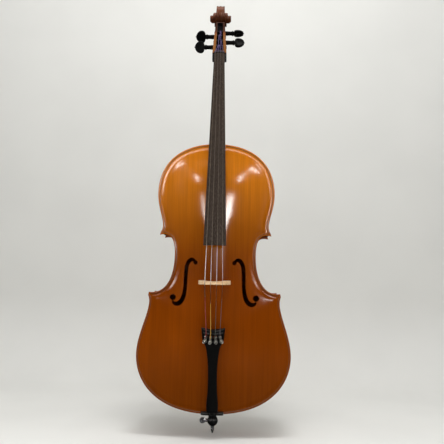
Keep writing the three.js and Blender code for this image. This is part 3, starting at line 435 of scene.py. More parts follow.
def through(knots, at):
    """A smooth curve through (place, value) knots."""
    knots = np.asarray(knots, float)
    x, y = knots.T
    slopes = np.gradient(y, x)
    i = np.clip(np.searchsorted(x, at, side="right") - 1, 0, len(x) - 2)
    width = x[i + 1] - x[i]
    t = np.clip((at - x[i]) / width, 0, 1)
    rise = y[i] * (1 + 2 * t) * (1 - t) ** 2 + y[i + 1] * t * t * (3 - 2 * t)
    return rise + width * (slopes[i] * t * (1 - t) ** 2 - slopes[i + 1] * t * t * (1 - t))


# ------------------------------------------------------------------ the outline and the arching
WIDEST_LOWER, NARROWEST, WIDEST_UPPER = (216, 159), (115, 439), (167.5, 614)
LOWER_CORNER = {"below": (187.5, 323.5), "above": (185.5, 332.5)}
UPPER_CORNER = {"below": (159, 494.5), "above": (156.5, 503.5)}
BOUTS = {
    "lower": chain(
        bezier((0, 0), (155, 0), (216, 81), WIDEST_LOWER, steps=90),
        bezier(WIDEST_LOWER, (216, 222), (171, 291), LOWER_CORNER["below"], steps=60),
    ),
    "waist": chain(
        bezier(LOWER_CORNER["above"], (144, 326), (115, 365), NARROWEST, steps=60),
        bezier(NARROWEST, (115, 483), (128, 503), UPPER_CORNER["below"], steps=40),
    ),
    "upper": chain(
        bezier(UPPER_CORNER["above"], (140, 527), (167.5, 563), WIDEST_UPPER, steps=45),
        bezier(WIDEST_UPPER, (167.5, 706), (104, BODY_LENGTH), (0, BODY_LENGTH), steps=80),
    ),
}
BOUTS = {name: resample(path, 3) for name, path in BOUTS.items()}
HALF_OUTLINE = chain(*BOUTS.values())
RIDGE = {"from": 157, "to": 622}
CHANNEL = {"in": 8, "depth": 1.5, "width": 5.5, "rise": 14}
EDGE_ROUND = 2.1
EDGE_STEPS = (0.35, 1.1, 2.2, 4.2, 6.5, 9, 12)


def edge_distance(points):
    """Distance in from the body's outline, for points of (x, z)."""
    return distance_to(HALF_OUTLINE, np.abs(points * (1, 0)) + points * (0, 1))


class Arching:
    """The rise of the plates over their edge, blurred so that the light runs evenly over it."""

    step = 4.0
    passes = 14

    def __init__(self):
        reach, margin = 252, 40
        self.low = np.array([-reach, -margin], float)
        xs = np.arange(self.low[0], reach + 0.1, self.step)
        zs = np.arange(self.low[1], BODY_LENGTH + margin + 1, self.step)
        grid = np.array(np.meshgrid(xs, zs, indexing="ij")).reshape(2, -1).T
        whole = np.vstack([HALF_OUTLINE, across(HALF_OUTLINE)[1:-1]])
        depth = np.where(inside(whole, grid), edge_distance(grid) - CHANNEL["in"], 0)
        depth = np.maximum(depth, 0)
        ridge = np.array([(0, RIDGE["from"]), (0, RIDGE["to"])], float)
        share = depth / np.maximum(depth + distance_to(ridge, grid), 1e-6)
        height = 0.5 - 0.5 * np.cos(math.pi * share**0.8)
        height = height.reshape(len(xs), len(zs))
        for _ in range(self.passes):
            height = (np.roll(height, 1, 0) + 2 * height + np.roll(height, -1, 0)) / 4
            height = (np.roll(height, 1, 1) + 2 * height + np.roll(height, -1, 1)) / 4
        self.height = height * ARCH / height.max()

    def blurred(self, points):
        at = (points - self.low) / self.step
        cell = np.floor(at).astype(int)
        share = at - cell
        weights = [
            (1 - share) ** 3 / 6,
            (3 * share**3 - 6 * share**2 + 4) / 6,
            (-3 * share**3 + 3 * share**2 + 3 * share + 1) / 6,
            share**3 / 6,
        ]
        total = np.zeros(len(points))
        for i in range(4):
            for j in range(4):
                a = np.clip(cell[:, 0] + i - 1, 0, self.height.shape[0] - 1)
                b = np.clip(cell[:, 1] + j - 1, 0, self.height.shape[1] - 1)
                total += weights[i][:, 0] * weights[j][:, 1] * self.height[a, b]
        return total

    def over_edge(self, points):
        depth = edge_distance(points)
        rise = self.blurred(points) * smooth((depth - CHANNEL["in"] + 1) / CHANNEL["rise"])
        dip = CHANNEL["depth"] * np.exp(-(((depth - CHANNEL["in"]) / CHANNEL["width"]) ** 2))
        return rise - dip


ARCHING = Arching()


def plate_faces(points, thickness=4.6, depth=None):
    """Outer and inner y of the belly at points of (x, z). The back is its mirror image in y."""
    depth = edge_distance(points) if depth is None else depth
    rise = ARCHING.over_edge(points)
    outer = EDGE_Y - rise + round_off(depth, EDGE_ROUND)
    inner = np.minimum(-HALF_RIB - round_off(depth, 1.7), EDGE_Y - rise + thickness)
    return outer, inner


def lift(points, y):
    return np.column_stack([points[:, 0], y, points[:, 1]])


# ------------------------------------------------------------------ materials
class Nodes:
    """A node tree, with short calls for the nodes it is made of."""

    def __init__(self, tree):
        self.tree = tree
        self.tree.nodes.clear()

    def add(self, kind, inputs=None, **settings):
        node = self.tree.nodes.new(kind)
        for key, value in settings.items():
            setattr(node, key, value)
        for key, value in (inputs or {}).items():
            self.feed(node.inputs[key], value)
        return node

    def feed(self, socket, value):
        if isinstance(value, bpy.types.NodeSocket):
            self.tree.links.new(value, socket)
        else:
            socket.default_value = value

    def math(self, operation, a, b=0.0):
        return self.add("ShaderNodeMath", {0: a, 1: b}, operation=operation).outputs[0]

    def product(self, a, b):
        return self.math("MULTIPLY", a, b)

    def between(self, value, low, high, to_low=0.0, to_high=1.0):
        node = {"Value": value, "From Min": low, "From Max": high, "To Min": to_low, "To Max": to_high}
        return self.add("ShaderNodeMapRange", node, interpolation_type="SMOOTHSTEP").outputs[0]

    def either(self, share, a, b):
        """One number or the other."""
        return self.add("ShaderNodeMix", {0: share, 2: a, 3: b}).outputs[0]


class Paint(Nodes):
    """A material. Its textures run over the row's own frame."""

    def __init__(self, name):
        self.material = bpy.data.materials.new(name)
        self.material.use_nodes = True
        super().__init__(self.material.node_tree)
        self.output = self.add("ShaderNodeOutputMaterial")
        self.surface = self.add("ShaderNodeBsdfPrincipled")
        self.feed(self.output.inputs[0], self.surface.outputs[0])
        self.place = self.add("ShaderNodeTexCoord").outputs["Object"]

    def noise(self, scale, detail=3.0, roughness=0.5, distortion=0.0, place=None, fineness=1.0):
        """Noise with a cell size of 1 / scale metres along each axis."""
        stretched = self.add("ShaderNodeMapping", {"Vector": place or self.place, "Scale": scale})
        settings = {"Scale": fineness, "Detail": detail, "Roughness": roughness, "Distortion": distortion}
        return self.add("ShaderNodeTexNoise", {"Vector": stretched.outputs[0], **settings}).outputs[0]

    def axis(self, letter):
        return self.add("ShaderNodeSeparateXYZ", {0: self.place}).outputs["XYZ".index(letter)]

    def from_middle(self):
        """Distance to either side of the middle plane."""
        return self.math("ABSOLUTE", self.axis("X"))

    def stretch(self, value, start, full, fade, end):
        """One from full to fade, falling to nothing at the start and the end."""
        return self.product(self.between(value, start, full), self.between(value, fade, end, 1.0, 0.0))

    def blend(self, share, a, b, kind="MIX"):
        node = self.add("ShaderNodeMix", {0: share}, data_type="RGBA", blend_type=kind)
        for socket, value in zip(node.inputs[6:8], (a, b)):
            self.feed(socket, rgb(*value) if isinstance(value, tuple) else value)
        return node.outputs[2]

    def times(self, body, shade):
        return self.blend(1.0, body, shade, "MULTIPLY")

    def shaded(self, share, body, cloth, low, high, dark, light):
        """The colour made darker and lighter by a noise, by a share of its full effect."""
        return self.blend(share, body, self.times(body, self.between(cloth, low, high, dark, light)))

    def finish(self, color, roughness, bump=None, strength=0.2, depth=0.0002, **more):
        color = rgb(*color) if isinstance(color, tuple) else color
        for key, value in {"Base Color": color, "Roughness": roughness, **more}.items():
            self.feed(self.surface.inputs[key.replace("_", " ")], value)
        if bump is not None:
            made = self.add("ShaderNodeBump", {"Height": bump, "Strength": strength, "Distance": depth})
            self.feed(self.surface.inputs["Normal"], made.outputs[0])
        return self.material


def linear(channel):
    return channel / 12.92 if channel <= 0.04 else ((channel + 0.055) / 1.055) ** 2.4


def rgb(red, green, blue):
    """A colour given as on a screen, taken to the linear values that the renderer works in."""
    return linear(red), linear(green), linear(blue), 1.0


def darker(color, share):
    return tuple(share * channel for channel in color)


VARNISH = {"Coat_Weight": 1.0, "Coat_IOR": 1.55}


def seam_line(paint, width, shade):
    """The fine line where two halves of a plate meet."""
    return paint.between(paint.from_middle(), 0.00015, width, shade, 1.0)


def varnished_spruce():
    """Fine upright grain under an orange varnish, glossier towards the top. Painted light: the colour is
    lighter towards the top and darker towards the lower end, as overhead light falls on it.
    """
    paint = Paint("spruce_varnished")
    fine = paint.noise((520, 30, 5), detail=4, roughness=0.65)
    wide = paint.noise((95, 12, 2.2), detail=2)
    cloud = paint.noise((9, 6, 5), detail=2)
    height = paint.axis("Z")
    body = paint.blend(paint.between(cloud, 0.32, 0.68), (0.49, 0.218, 0.0), (0.53, 0.243, 0.0))
    # Painted shade: darker towards the lower end, where less overhead light reaches.
    body = paint.blend(paint.between(height, 0.08, 0.3), (0.44, 0.2, 0.0), body)
    # Painted light: lighter towards the top, where the overhead light falls.
    body = paint.blend(paint.between(height, 0.44, 0.78), body, (0.86, 0.495, 0.08))
    body = paint.shaded(0.55, body, fine, 0.35, 0.65, 0.8, 1.05)
    body = paint.shaded(0.4, body, wide, 0.3, 0.7, 0.8, 1.08)
    body = paint.times(body, seam_line(paint, 0.0005, 0.6))
    coat = {**VARNISH, "Coat_Weight": paint.between(height, 0.38, 0.5, 0.4, 1.0)}
    coat["Coat_Roughness"] = paint.between(cloud, 0.3, 0.7, 0.1, 0.14)
    return paint.finish(body, 0.42, fine, 0.12, 0.0001, Specular_IOR_Level=0.0, **coat)


def varnished_maple(name, mirrored=False, dark=1.0):
    """Maple whose flames cross the grain, as a paint, its colour and the rest of its finish."""
    paint = Paint(name)
    slant = paint.from_middle() if mirrored else paint.axis("Y")
    height = paint.math("ADD", paint.axis("Z"), paint.product(slant, 0.28))
    spot = paint.add("ShaderNodeCombineXYZ", {0: paint.axis("X"), 1: paint.axis("Y"), 2: height}).outputs[0]
    flame = paint.noise((5, 5, 60), 1.5, 0.45, 0.2, place=spot, fineness=1.7)
    fine = paint.noise((500, 500, 14), detail=3, roughness=0.6)
    cloud = paint.noise((8, 8, 6), detail=2)
    colors = darker((0.5, 0.22, 0.03), dark), darker((0.62, 0.31, 0.06), dark)
    body = paint.blend(paint.between(flame, 0.38, 0.62), *colors)
    body = paint.shaded(0.5, body, cloud, 0.3, 0.7, 0.72, 1.12)
    body = paint.shaded(0.35, body, fine, 0.35, 0.65, 0.75, 1.1)
    coat = {**VARNISH, "Coat_Roughness": 0.12, "Specular_IOR_Level": 0.1}
    return paint, body, {"roughness": 0.4, "bump": fine, "strength": 0.1, "depth": 0.0001, **coat}


def back_maple():
    paint, body, rest = varnished_maple("maple_back", mirrored=True)
    return paint.finish(paint.times(body, seam_line(paint, 0.0006, 0.55)), **rest)


def rib_maple():
    paint, body, rest = varnished_maple("maple_ribs")
    return paint.finish(body, **rest)


def neck_maple():
    """Dark brown varnish on the scroll and worn lighter along the neck, with painted shade: near black at the
    throat under the scroll and black on the shoulders below the nut.
    """
    paint, body, rest = varnished_maple("maple_neck", dark=0.86)
    height = paint.axis("Z")
    # Painted shade: the top of the pegbox and the underside of the scroll, darkened as if in the scroll's
    # shadow.
    throat = paint.stretch(height, 1.18, 1.205, 1.228, 1.245)
    stretches = [
        (paint.stretch(height, 0.88, 0.94, 1.04, 1.09), 0.55, (0.74, 0.5, 0.24)),
        (paint.stretch(height, 1.113, 1.118, 1.17, 1.2), 0.7, (0.5, 0.31, 0.06)),
        (paint.between(height, 1.18, 1.215), 0.62, (0.27, 0.13, 0.05)),
        (throat, 0.75, (0.09, 0.05, 0.03)),
    ]
    for share, most, color in stretches:
        body = paint.blend(paint.product(share, most), body, color)
    # Painted shade: the shoulders beside the fingerboard below the nut are painted near black.
    aside = paint.between(paint.from_middle(), 0.0135, 0.0155)
    shoulder = paint.product(paint.stretch(height, 1.078, 1.083, 1.113, 1.116), aside)
    body = paint.blend(shoulder, body, (0.05, 0.045, 0.045))
    rest["Coat_Weight"] = paint.product(paint.math("SUBTRACT", 1.0, throat), 0.4)
    rest["Coat_Roughness"] = 0.2
    return paint.finish(body, **rest)


def cavity_black():
    paint = Paint("pegbox_inside")
    grain = paint.noise((200, 200, 20))
    return paint.finish(paint.blend(grain, (0.03, 0.025, 0.022), (0.09, 0.075, 0.065)), 0.6, grain, 0.2)


def black_wood(name, low, high, roughness, gloss, shine=0.2):
    """Ebony or stained wood: almost black, with long pores that break the shine."""
    paint = Paint(name)
    grain = paint.noise((700, 700, 16), detail=4, roughness=0.7)
    cloud = paint.noise((30, 30, 8), detail=2)
    body = paint.blend(paint.between(grain, 0.35, 0.7), low, high)
    rough = paint.between(cloud, 0.3, 0.7, roughness, roughness + 0.1)
    coat = {"Coat_Weight": gloss, "Coat_Roughness": roughness * 0.6, "Specular_IOR_Level": shine}
    return paint.finish(body, rough, grain, 0.15, 0.0001, **coat)


def bare_wood(name, light, dark, scale, roughness=0.6):
    paint = Paint(name)
    grain = paint.noise(scale, detail=4, roughness=0.65)
    cloud = paint.noise((25, 25, 25), detail=2)
    body = paint.blend(paint.between(grain, 0.35, 0.65), light, dark)
    body = paint.shaded(0.4, body, cloud, 0.3, 0.7, 0.78, 1.05)
    return paint.finish(body, roughness, grain, 0.2, 0.00015)


def bridge_maple():
    """Bare maple with the short dark flecks of its rays."""
    paint = Paint("maple_bare")
    fleck = paint.noise((1100, 300, 260), detail=2, roughness=0.7)
    cloud = paint.noise((40, 40, 40), detail=2)
    body = paint.blend(paint.between(cloud, 0.3, 0.7), (0.9, 0.76, 0.57), (0.95, 0.84, 0.68))
    body = paint.blend(paint.between(fleck, 0.52, 0.68), body, (0.6, 0.4, 0.24))
    return paint.finish(body, 0.5, fleck, 0.15)


def metal(name, color, roughness):
    """Bright metal, dulled here and there."""
    paint = Paint(name)
    wear = paint.noise((400, 400, 400), detail=4, roughness=0.6)
    stain = paint.noise((60, 60, 60), detail=2)
    rough = paint.between(wear, 0.35, 0.65, roughness, roughness + 0.12)
    body = paint.blend(paint.between(stain, 0.35, 0.65), color, darker(color, 0.86))
    return paint.finish(body, rough, wear, 0.06, 0.00005, Metallic=1.0)


def turns_of_thread(paint, density):
    """The ridges of something wound round an upright cord."""
    return paint.math("SINE", paint.product(paint.axis("Z"), density))


def wound_string():
    """A string's winding: fine turns of bright wire round the core, darker over the board."""
    paint = Paint("string_metal")
    turns = turns_of_thread(paint, 9000.0)
    stain = paint.noise((80, 80, 25), detail=2)
    body = paint.blend(paint.between(stain, 0.35, 0.65), (0.78, 0.74, 0.7), (0.68, 0.64, 0.6))
    body = paint.blend(paint.between(paint.axis("Z"), 0.5, 0.54), body, (0.36, 0.32, 0.28))
    return paint.finish(body, 0.3, turns, 0.3, 0.00004, Metallic=1.0)


def silk(name, color):
    """Coloured thread wrapped round a string's end."""
    paint = Paint(name)
    fuzz = paint.noise((900, 900, 900))
    body = paint.blend(paint.between(fuzz, 0.3, 0.7), color, darker(color, 0.7))
    return paint.finish(body, 0.7, turns_of_thread(paint, 6000.0), 0.4, 0.00006, Sheen_Weight=0.3)


def cord_black():
    paint = Paint("cord_black")
    fuzz = paint.noise((600, 600, 600))
    return paint.finish(paint.blend(fuzz, (0.05, 0.05, 0.05), (0.1, 0.1, 0.1)), 0.5, fuzz, 0.2)


def pale_ground(name, color):
    """The floor and the wall behind, with a painted reflection: glossy rays see them near black. Seen from
    behind, the wall lets the view through.
    """
    paint = Paint(name)
    cloud = paint.noise((3, 3, 3), detail=2)
    body = paint.blend(paint.between(cloud, 0.3, 0.7), color, darker(color, 0.985))
    # Painted reflection: to glossy rays the floor and wall are near black, so the varnish reflects a dark
    # room low in front.
    in_gloss = paint.add("ShaderNodeLightPath").outputs["Is Glossy Ray"]
    body = paint.blend(in_gloss, body, (0.03, 0.03, 0.03))
    material = paint.finish(body, 0.75, Specular_IOR_Level=0.2)
    clear = paint.add("ShaderNodeBsdfTransparent").outputs[0]
    behind = paint.add("ShaderNodeNewGeometry").outputs["Backfacing"]
    mixed = paint.add("ShaderNodeMixShader", {0: behind, 1: paint.surface.outputs[0], 2: clear})
    paint.feed(paint.output.inputs[0], mixed.outputs[0])
    return material


SPRUCE = varnished_spruce()
BACK_MAPLE = back_maple()
RIB_MAPLE = rib_maple()
NECK_MAPLE = neck_maple()
PEGBOX_INSIDE = cavity_black()
BOARD_BLACK = black_wood("ebony_board", (0.19, 0.165, 0.145), (0.31, 0.265, 0.235), 0.42, 0.02, 0.04)
EBONY = black_wood("ebony", (0.06, 0.055, 0.05), (0.13, 0.12, 0.11), 0.28, 0.4)
PEG_BLACK = black_wood("peg_black", (0.035, 0.034, 0.033), (0.07, 0.067, 0.065), 0.3, 0.03, 0.03)
TAIL_BLACK = black_wood("tailpiece_black", (0.03, 0.028, 0.028), (0.06, 0.057, 0.056), 0.3, 0.3)
RUBBER_BLACK = black_wood("collar_black", (0.04, 0.04, 0.04), (0.08, 0.08, 0.08), 0.32, 0.4)
BARE_SPRUCE = bare_wood("spruce_bare", (0.86, 0.76, 0.58), (0.74, 0.6, 0.42), (600, 600, 8))
BRIDGE_MAPLE = bridge_maple()
STEEL = metal("steel", (0.78, 0.78, 0.79), 0.22)
TUNER_STEEL = metal("tuner_steel", (0.76, 0.75, 0.72), 0.24)
STRING_METAL = wound_string()
CORD = cord_black()
PURFLING_BLACK = bare_wood("purfling_black", (0.07, 0.05, 0.04), (0.12, 0.08, 0.05), (300, 300, 300), 0.35)
PURFLING_WHITE = bare_wood("purfling_white", (0.55, 0.36, 0.17), (0.45, 0.28, 0.12), (300, 300, 300), 0.35)
SILKS = {
    "c": silk("silk_red", (0.62, 0.16, 0.12)),
    "g": silk("silk_gold", (0.88, 0.66, 0.16)),
    "d": silk("silk_green", (0.3, 0.3, 0.26)),
    "a": silk("silk_grey", (0.42, 0.38, 0.4)),
    "peg": silk("silk_purple", (0.3, 0.2, 0.46)),
}


# ------------------------------------------------------------------ fitting pieces to the frame
def fit(obj, body, slot, *nodes):
    """The piece rides on a CAD body and stands for CAD nodes. Its slot is not used."""
    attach(obj, body)
    if nodes:
        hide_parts(*nodes)
    return obj


SIDES = {"bass": -1, "treble": 1}
SADDLE = {"half": 31, "height": 8, "rise": 8, "out": 1.5}
NECK_HALF = 23
HEEL_Z = BODY_LENGTH - OVERHANG - RIB_THICKNESS - 12
BUTTON = {"z": 18, "radius": 14.5}


def notched(half_width, floor, top):
    """The stretch of a notch's side between the outline and its floor, on the treble side."""
    upper, lower = HALF_OUTLINE[HALF_OUTLINE[:, 1] > BODY_LENGTH / 2], HALF_OUTLINE[: len(HALF_OUTLINE) // 3]
    rows = upper if top else lower
    order = np.argsort(rows[:, 0])
    edge = np.interp(half_width, rows[order, 0], rows[order, 1])
    return resample([(half_width, edge), (half_width, floor), (0, floor)], 3)


def belly_outline():
    saddle_half, neck_half = SADDLE["half"] + 0.3, NECK_HALF + 0.3
    lower = notched(saddle_half, SADDLE["height"] + 0.3, top=False)[::-1]
    upper = notched(neck_half, HEEL_Z - 0.3, top=True)
    low_part = HALF_OUTLINE[:, 1] < BODY_LENGTH / 2
    keep = np.where(low_part, HALF_OUTLINE[:, 0] > saddle_half + 1, HALF_OUTLINE[:, 0] > neck_half + 1)
    half = chain(lower, HALF_OUTLINE[keep], upper)
    return np.vstack([half, across(half)[1:-1]])


def f_stem():
    return chain(
        bezier((56, 413), (49, 433), (76, 440), (84, 411), steps=20),
        bezier((84, 411), (90, 392), (83.5, 352), (92, 325), steps=44),
        bezier((92, 325), (97, 308), (109, 301), (117, 311), steps=20),
        bezier((117, 311), (126, 297), (92, 279), (80.5, 321), steps=28),
        bezier((80.5, 321), (74.5, 347), (78, 385), (73.5, 406), steps=44),
        bezier((73.5, 406), (69, 422), (60, 424), (56, 413), steps=16),
    )[:-1]


def f_holes():
    """Each f-hole is its stem, two round eyes and the pair of nicks at its middle."""
    upper_eye, lower_eye = ((54.7, 417), 6.2), ((117, 319), 8.6)
    eyes = [arc(centre, radius, 0, 2 * math.pi, 32)[:-1] for centre, radius in (upper_eye, lower_eye)]
    nicks = np.array([(73, 364), (81.5, 362), (91, 365), (81.5, 367)], float)
    treble = [f_stem(), *eyes, nicks]
    return treble + [across(loop) for loop in treble]


def belly():
    def faces_at(points):
        outer, inner = plate_faces(points)
        return lift(points, outer), lift(points, inner)

    obj = sheet("belly", belly_outline(), f_holes(), 5, faces_at, SPRUCE, EDGE_STEPS, (1.6,))
    fit(obj, "root", "spruce_varnished", "belly")


def back():
    rows = HALF_OUTLINE[(HALF_OUTLINE[:, 1] < BODY_LENGTH / 2) | (HALF_OUTLINE[:, 0] > BUTTON["radius"] + 1)]
    top = arc((0, BODY_LENGTH + BUTTON["z"] - BUTTON["radius"]), BUTTON["radius"], 0, math.pi / 2, 10)
    root = np.array([(BUTTON["radius"], BODY_LENGTH - 0.4)])
    half = chain(rows, root, top)

    def faces_at(points):
        depth = distance_to(half, np.abs(points * (1, 0)) + points * (0, 1))
        outer, inner = plate_faces(points, depth=depth)
        return lift(points, -outer), lift(points, -inner)

    obj = sheet("back", np.vstack([half, across(half)[1:-1]]), [], 5, faces_at, BACK_MAPLE, EDGE_STEPS)
    fit(obj, "root", "maple_varnished", "back")


PURFLING = {"from": 4.2, "to": 5.7}


def purfling(plate, facing):
    """Three thin strips of wood let into the plate, just inside its edge."""
    first, last = PURFLING["from"], PURFLING["to"]
    lines = [first, lerp(first, last, 0.3), lerp(first, last, 0.7), last]
    limits = {"lower": SADDLE["half"] + 0.6, "waist": 0, "upper": NECK_HALF + 0.6}
    for bout, path in BOUTS.items():
        path = resample(path, 2)
        normal = normals_of(path)
        limit = limits[bout] if facing < 0 else 0.3
        clear = np.abs((path + normal * last)[:, 0]) > limit
        for line in (first, last):
            clear &= edge_distance(path + normal * line) > line * 0.97
        path, normal = path[clear], normal[clear]
        for side, sign in SIDES.items():
            rings = []
            for line, up in [*[(line, 0.07) for line in lines], (last, -0.5), (first, -0.5)]:
                points = path + normal * line
                y = facing * (ARCHING.over_edge(points) - EDGE_Y + up)
                rings.append(lift(points * (sign, 1), y))
            rings = np.array(rings).transpose(1, 0, 2)
            name = f"purfling_{plate}_{bout}_{side}"
            strip = loft(name, rings, [PURFLING_BLACK, PURFLING_WHITE], ring_material=[0, 1, 0, 0, 0, 0])
            fit(strip, "root", "spruce_varnished" if facing < 0 else "maple_varnished")


def ribs():
    for bout, path in BOUTS.items():
        path = resample(path, 2)
        normal = normals_of(path)
        clear = edge_distance(path + normal * OVERHANG) > OVERHANG * 0.97
        if bout == "upper":
            clear &= path[:, 0] > NECK_HALF + 0.6
        path, normal = path[clear], normal[clear]
        along = np.r_[0, np.cumsum(np.linalg.norm(np.diff(path, axis=0), axis=1))]
        start = np.full(len(path), 1e3) if bout == "lower" else along
        end = np.full(len(path), 1e3) if bout == "upper" else along[-1] - along
        thick = RIB_THICKNESS + 2.6 * (1 - smooth(np.minimum(start, end) / 12))
        outer = path + normal * OVERHANG
        inner = path + normal * (OVERHANG + thick)[:, None]
        for side, sign in SIDES.items():
            corners = [(outer, -1), (outer, 1), (inner, 1), (inner, -1)]
            height = HALF_RIB - 0.05
            rings = [lift(points * (sign, 1), np.full(len(points), y * height)) for points, y in corners]
            obj = loft(f"rib_{bout}_{side}", np.array(rings).transpose(1, 0, 2), RIB_MAPLE)
            fit(obj, "root", "maple_varnished", f"rib_{bout}_{side}")


# ------------------------------------------------------------------ neck, pegbox and scroll
HEEL_TOP = BODY_LENGTH + BUTTON["z"] - 2
HEEL_CURVE = 62
LEAN = math.radians(18)
PEGBOX_Y = board_underside(NUT_Z) - 1.5
PEGBOX_Z = NUT_Z + 3
PEGBOX_LENGTH = 121
PEGBOX_HALF = {"nut": 21.5, "throat": 14.5}
THROAT_Z = NUT_Z + 108
PEGBOX_WALL = 8
# Distances up the pegbox's front edge, with its depth there.
PEGBOX_REAR = [
    (-24, 15), (-13, 27), (4, 41), (24, 45), (62, 41),
    (98, 34), (112, 35), (124, 40), (135, 48.5), (145, 60),
]
CAVITY_FLOOR = [(7, 29), (24, 33), (60, 31), (88, 27), (109, 22), (117, 14)]
FLUTE = {"from": 34, "to": 150, "radius": 6.2, "depth": 1.9}
EYE = {"u": 153.5, "v": 21, "half": 33, "radius": 10}
EYE_TURN = 4.5 * math.pi
# Half turns from the top of the scroll inwards, with the spiral's radius and with half its width there.
SCROLL_RADII = [
    (-0.2, 41), (0, 42), (0.25, 42.6), (0.5, 41.6), (1, 33.5), (1.5, 26.5), (2, 22.6),
    (2.5, 19.4), (3, 16.6), (3.5, 14.2), (4, 12.2), (4.5, 10.4), (5, 9), (6.5, 6),
]
SCROLL_WIDTHS = [
    (0, 12.6), (0.5, 12.4), (1, 13.2), (1.5, 18.4), (2, 19.8),
    (2.5, 21), (3, 24), (3.5, 27.4), (4, 30.5), (4.6, 33),
]


def in_pegbox(u, v):
    """Up the pegbox's front edge by u and back by v, as (y, z)."""
    y = PEGBOX_Y + u * math.sin(LEAN) + v * math.cos(LEAN)
    z = PEGBOX_Z + u * math.cos(LEAN) - v * math.sin(LEAN)
    return np.stack([y, z], -1)


def spiral_radius(turn):
    return through(SCROLL_RADII, np.asarray(turn) / math.pi)


def pegbox_half(z):
    return lerp(PEGBOX_HALF["nut"], PEGBOX_HALF["throat"], (z - NUT_Z) / (THROAT_Z - NUT_Z))


def neck_rear(z):
    shaft = board_underside(z) + lerp(22, 17, (z - HEEL_TOP) / (NUT_Z - HEEL_TOP))
    above = z - HEEL_TOP
    if above <= 0:
        return HALF_RIB - 0.3
    if above >= HEEL_CURVE:
        return shaft
    return lerp(shaft, HALF_RIB - 0.3, 1 - math.sqrt(1 - (1 - above / HEEL_CURVE) ** 2))


def neck_shaft():
    curve = HEEL_TOP + HEEL_CURVE * np.linspace(0, 1, 28) ** 1.8
    stations = np.r_[HEEL_Z, HEEL_TOP - 10, curve, np.linspace(HEEL_TOP + 80, NUT_Z, 24)]
    rings = []
    for z in stations:
        heel = min(1, 1.5 * min(1, max(0, 1 - (z - HEEL_TOP) / HEEL_CURVE)))
        half = min(NECK_HALF, board_width(z) / 2)
        squareness = 1 - 0.55 * heel
        turns = np.linspace(0, math.pi, 41)
        aside = np.sign(np.cos(turns)) * np.abs(np.cos(turns)) ** squareness
        behind = np.maximum(0, np.sin(turns)) ** squareness
        x = half * aside * (1 - 0.38 * behind * heel)
        y = lerp(board_underside(z) + 0.3, neck_rear(z), behind)
        rings.append(np.column_stack([x, y, np.full(41, z)]))
    return loft("neck_shaft", rings, NECK_MAPLE)


def pegbox_blank():
    u = np.linspace(PEGBOX_REAR[0][0], PEGBOX_REAR[-1][0], 70)
    rear = in_pegbox(u, through(PEGBOX_REAR, u))
    turns = np.linspace(-0.1 * math.pi, 1.44 * math.pi, 50)
    inner = spiral_radius(turns) - 4
    volute = in_pegbox(EYE["u"] + inner * np.sin(turns), EYE["v"] + inner * np.cos(turns))
    front = in_pegbox(np.array([PEGBOX_LENGTH, -1.0, 0.0]), np.array([0.0, 0.0, 4.0]))
    profile = prism("pegbox_profile", chain(rear, volute, front), 40, NECK_MAPLE)
    wide = PEGBOX_HALF["nut"]
    tangents = (19.5, NUT_Z - 26), (wide, NUT_Z - 23)
    shoulder = bezier((15.6, NUT_Z - 30), *tangents, (wide, NUT_Z - 13), steps=10)
    spine = [(PEGBOX_HALF["throat"], THROAT_Z), (12.6, NUT_Z + 150), (12.4, NUT_Z + 200)]
    treble = chain(shoulder, [(wide, NUT_Z), *spine])
    plan = slab("pegbox_plan", np.vstack([treble, across(treble)]), -140, 120, NECK_MAPLE)
    blank = cut(profile, plan, operation="INTERSECT")
    flutes = []
    for side in (-1, 1):
        u = np.linspace(FLUTE["from"], FLUTE["to"], 60)
        sunk = FLUTE["depth"] * smooth((u - FLUTE["from"]) / 30)
        y, z = in_pegbox(u, through(PEGBOX_REAR, u) + FLUTE["radius"] - sunk).T
        x = side * (pegbox_half(z) - 1.8) / 2
        flutes.append(tube("flute", np.column_stack([x, y, z]), FLUTE["radius"], NECK_MAPLE, sides=24))
    return cut(blank, *flutes)


def volute_ring(turn):
    """A section through the scroll from its eye outwards, as (x, distance from the eye)."""
    radius = spiral_radius(turn)
    band = radius - spiral_radius(turn + 2 * math.pi)
    half = through(SCROLL_WIDTHS, np.array([turn / math.pi]))[0]
    flat = half - 2.4 * smooth(turn / 2)
    edge = 1.7
    side = [(flat, 0), (flat, radius - band * 0.62), (half - 1, radius - band * 0.3), (half, radius - edge)]
    span = half - edge * 0.6
    depth = 2.0 * (1 - smooth((turn - 1.5 * math.pi) / 4))
    x = np.linspace(span, -span, 25)
    across_top = np.column_stack([x, radius - depth * np.abs(np.sin(math.pi * x / span)) ** 0.8])
    return np.vstack([side, across_top, [(-a, b) for a, b in side[::-1]]])


def volute():
    rings = []
    for turn in np.linspace(-0.06 * math.pi, EYE_TURN, 230):
        section = volute_ring(turn)
        out = section[:, 1]
        y, z = in_pegbox(EYE["u"] + out * math.sin(turn), EYE["v"] + out * math.cos(turn)).T
        rings.append(np.column_stack([section[:, 0], y, z]))
    return loft("volute", rings, NECK_MAPLE)


def scroll_eye():
    y, z = in_pegbox(EYE["u"], EYE["v"])
    half, radius = EYE["half"], EYE["radius"]
    profile = rounded_profile([(-half, 0), (-half, radius), (half, radius), (half, 0)], 2.4, 5)
    return lathe("scroll_eye", profile, (0, y, z), (1, 0, 0), NECK_MAPLE)


def peg_cavity():
    start, end = CAVITY_FLOOR[0][0], CAVITY_FLOOR[-1][0]
    u = np.linspace(start, end, 34)
    floor = in_pegbox(u, through(CAVITY_FLOOR, u))
    mouth = in_pegbox(np.array([end, start], float), np.array([-12.0, -12.0]))
    profile = prism("cavity", chain(floor, mouth), 20, PEGBOX_INSIDE)
    near, far = PEGBOX_HALF["nut"] - PEGBOX_WALL, PEGBOX_HALF["throat"] - PEGBOX_WALL + 1
    treble = [(near, NUT_Z - 30), (far, THROAT_Z + 20)]
    plan = slab("cavity_plan", np.vstack([treble, across(treble)]), -120, 60, PEGBOX_INSIDE)
    return cut(profile, plan, operation="INTERSECT")


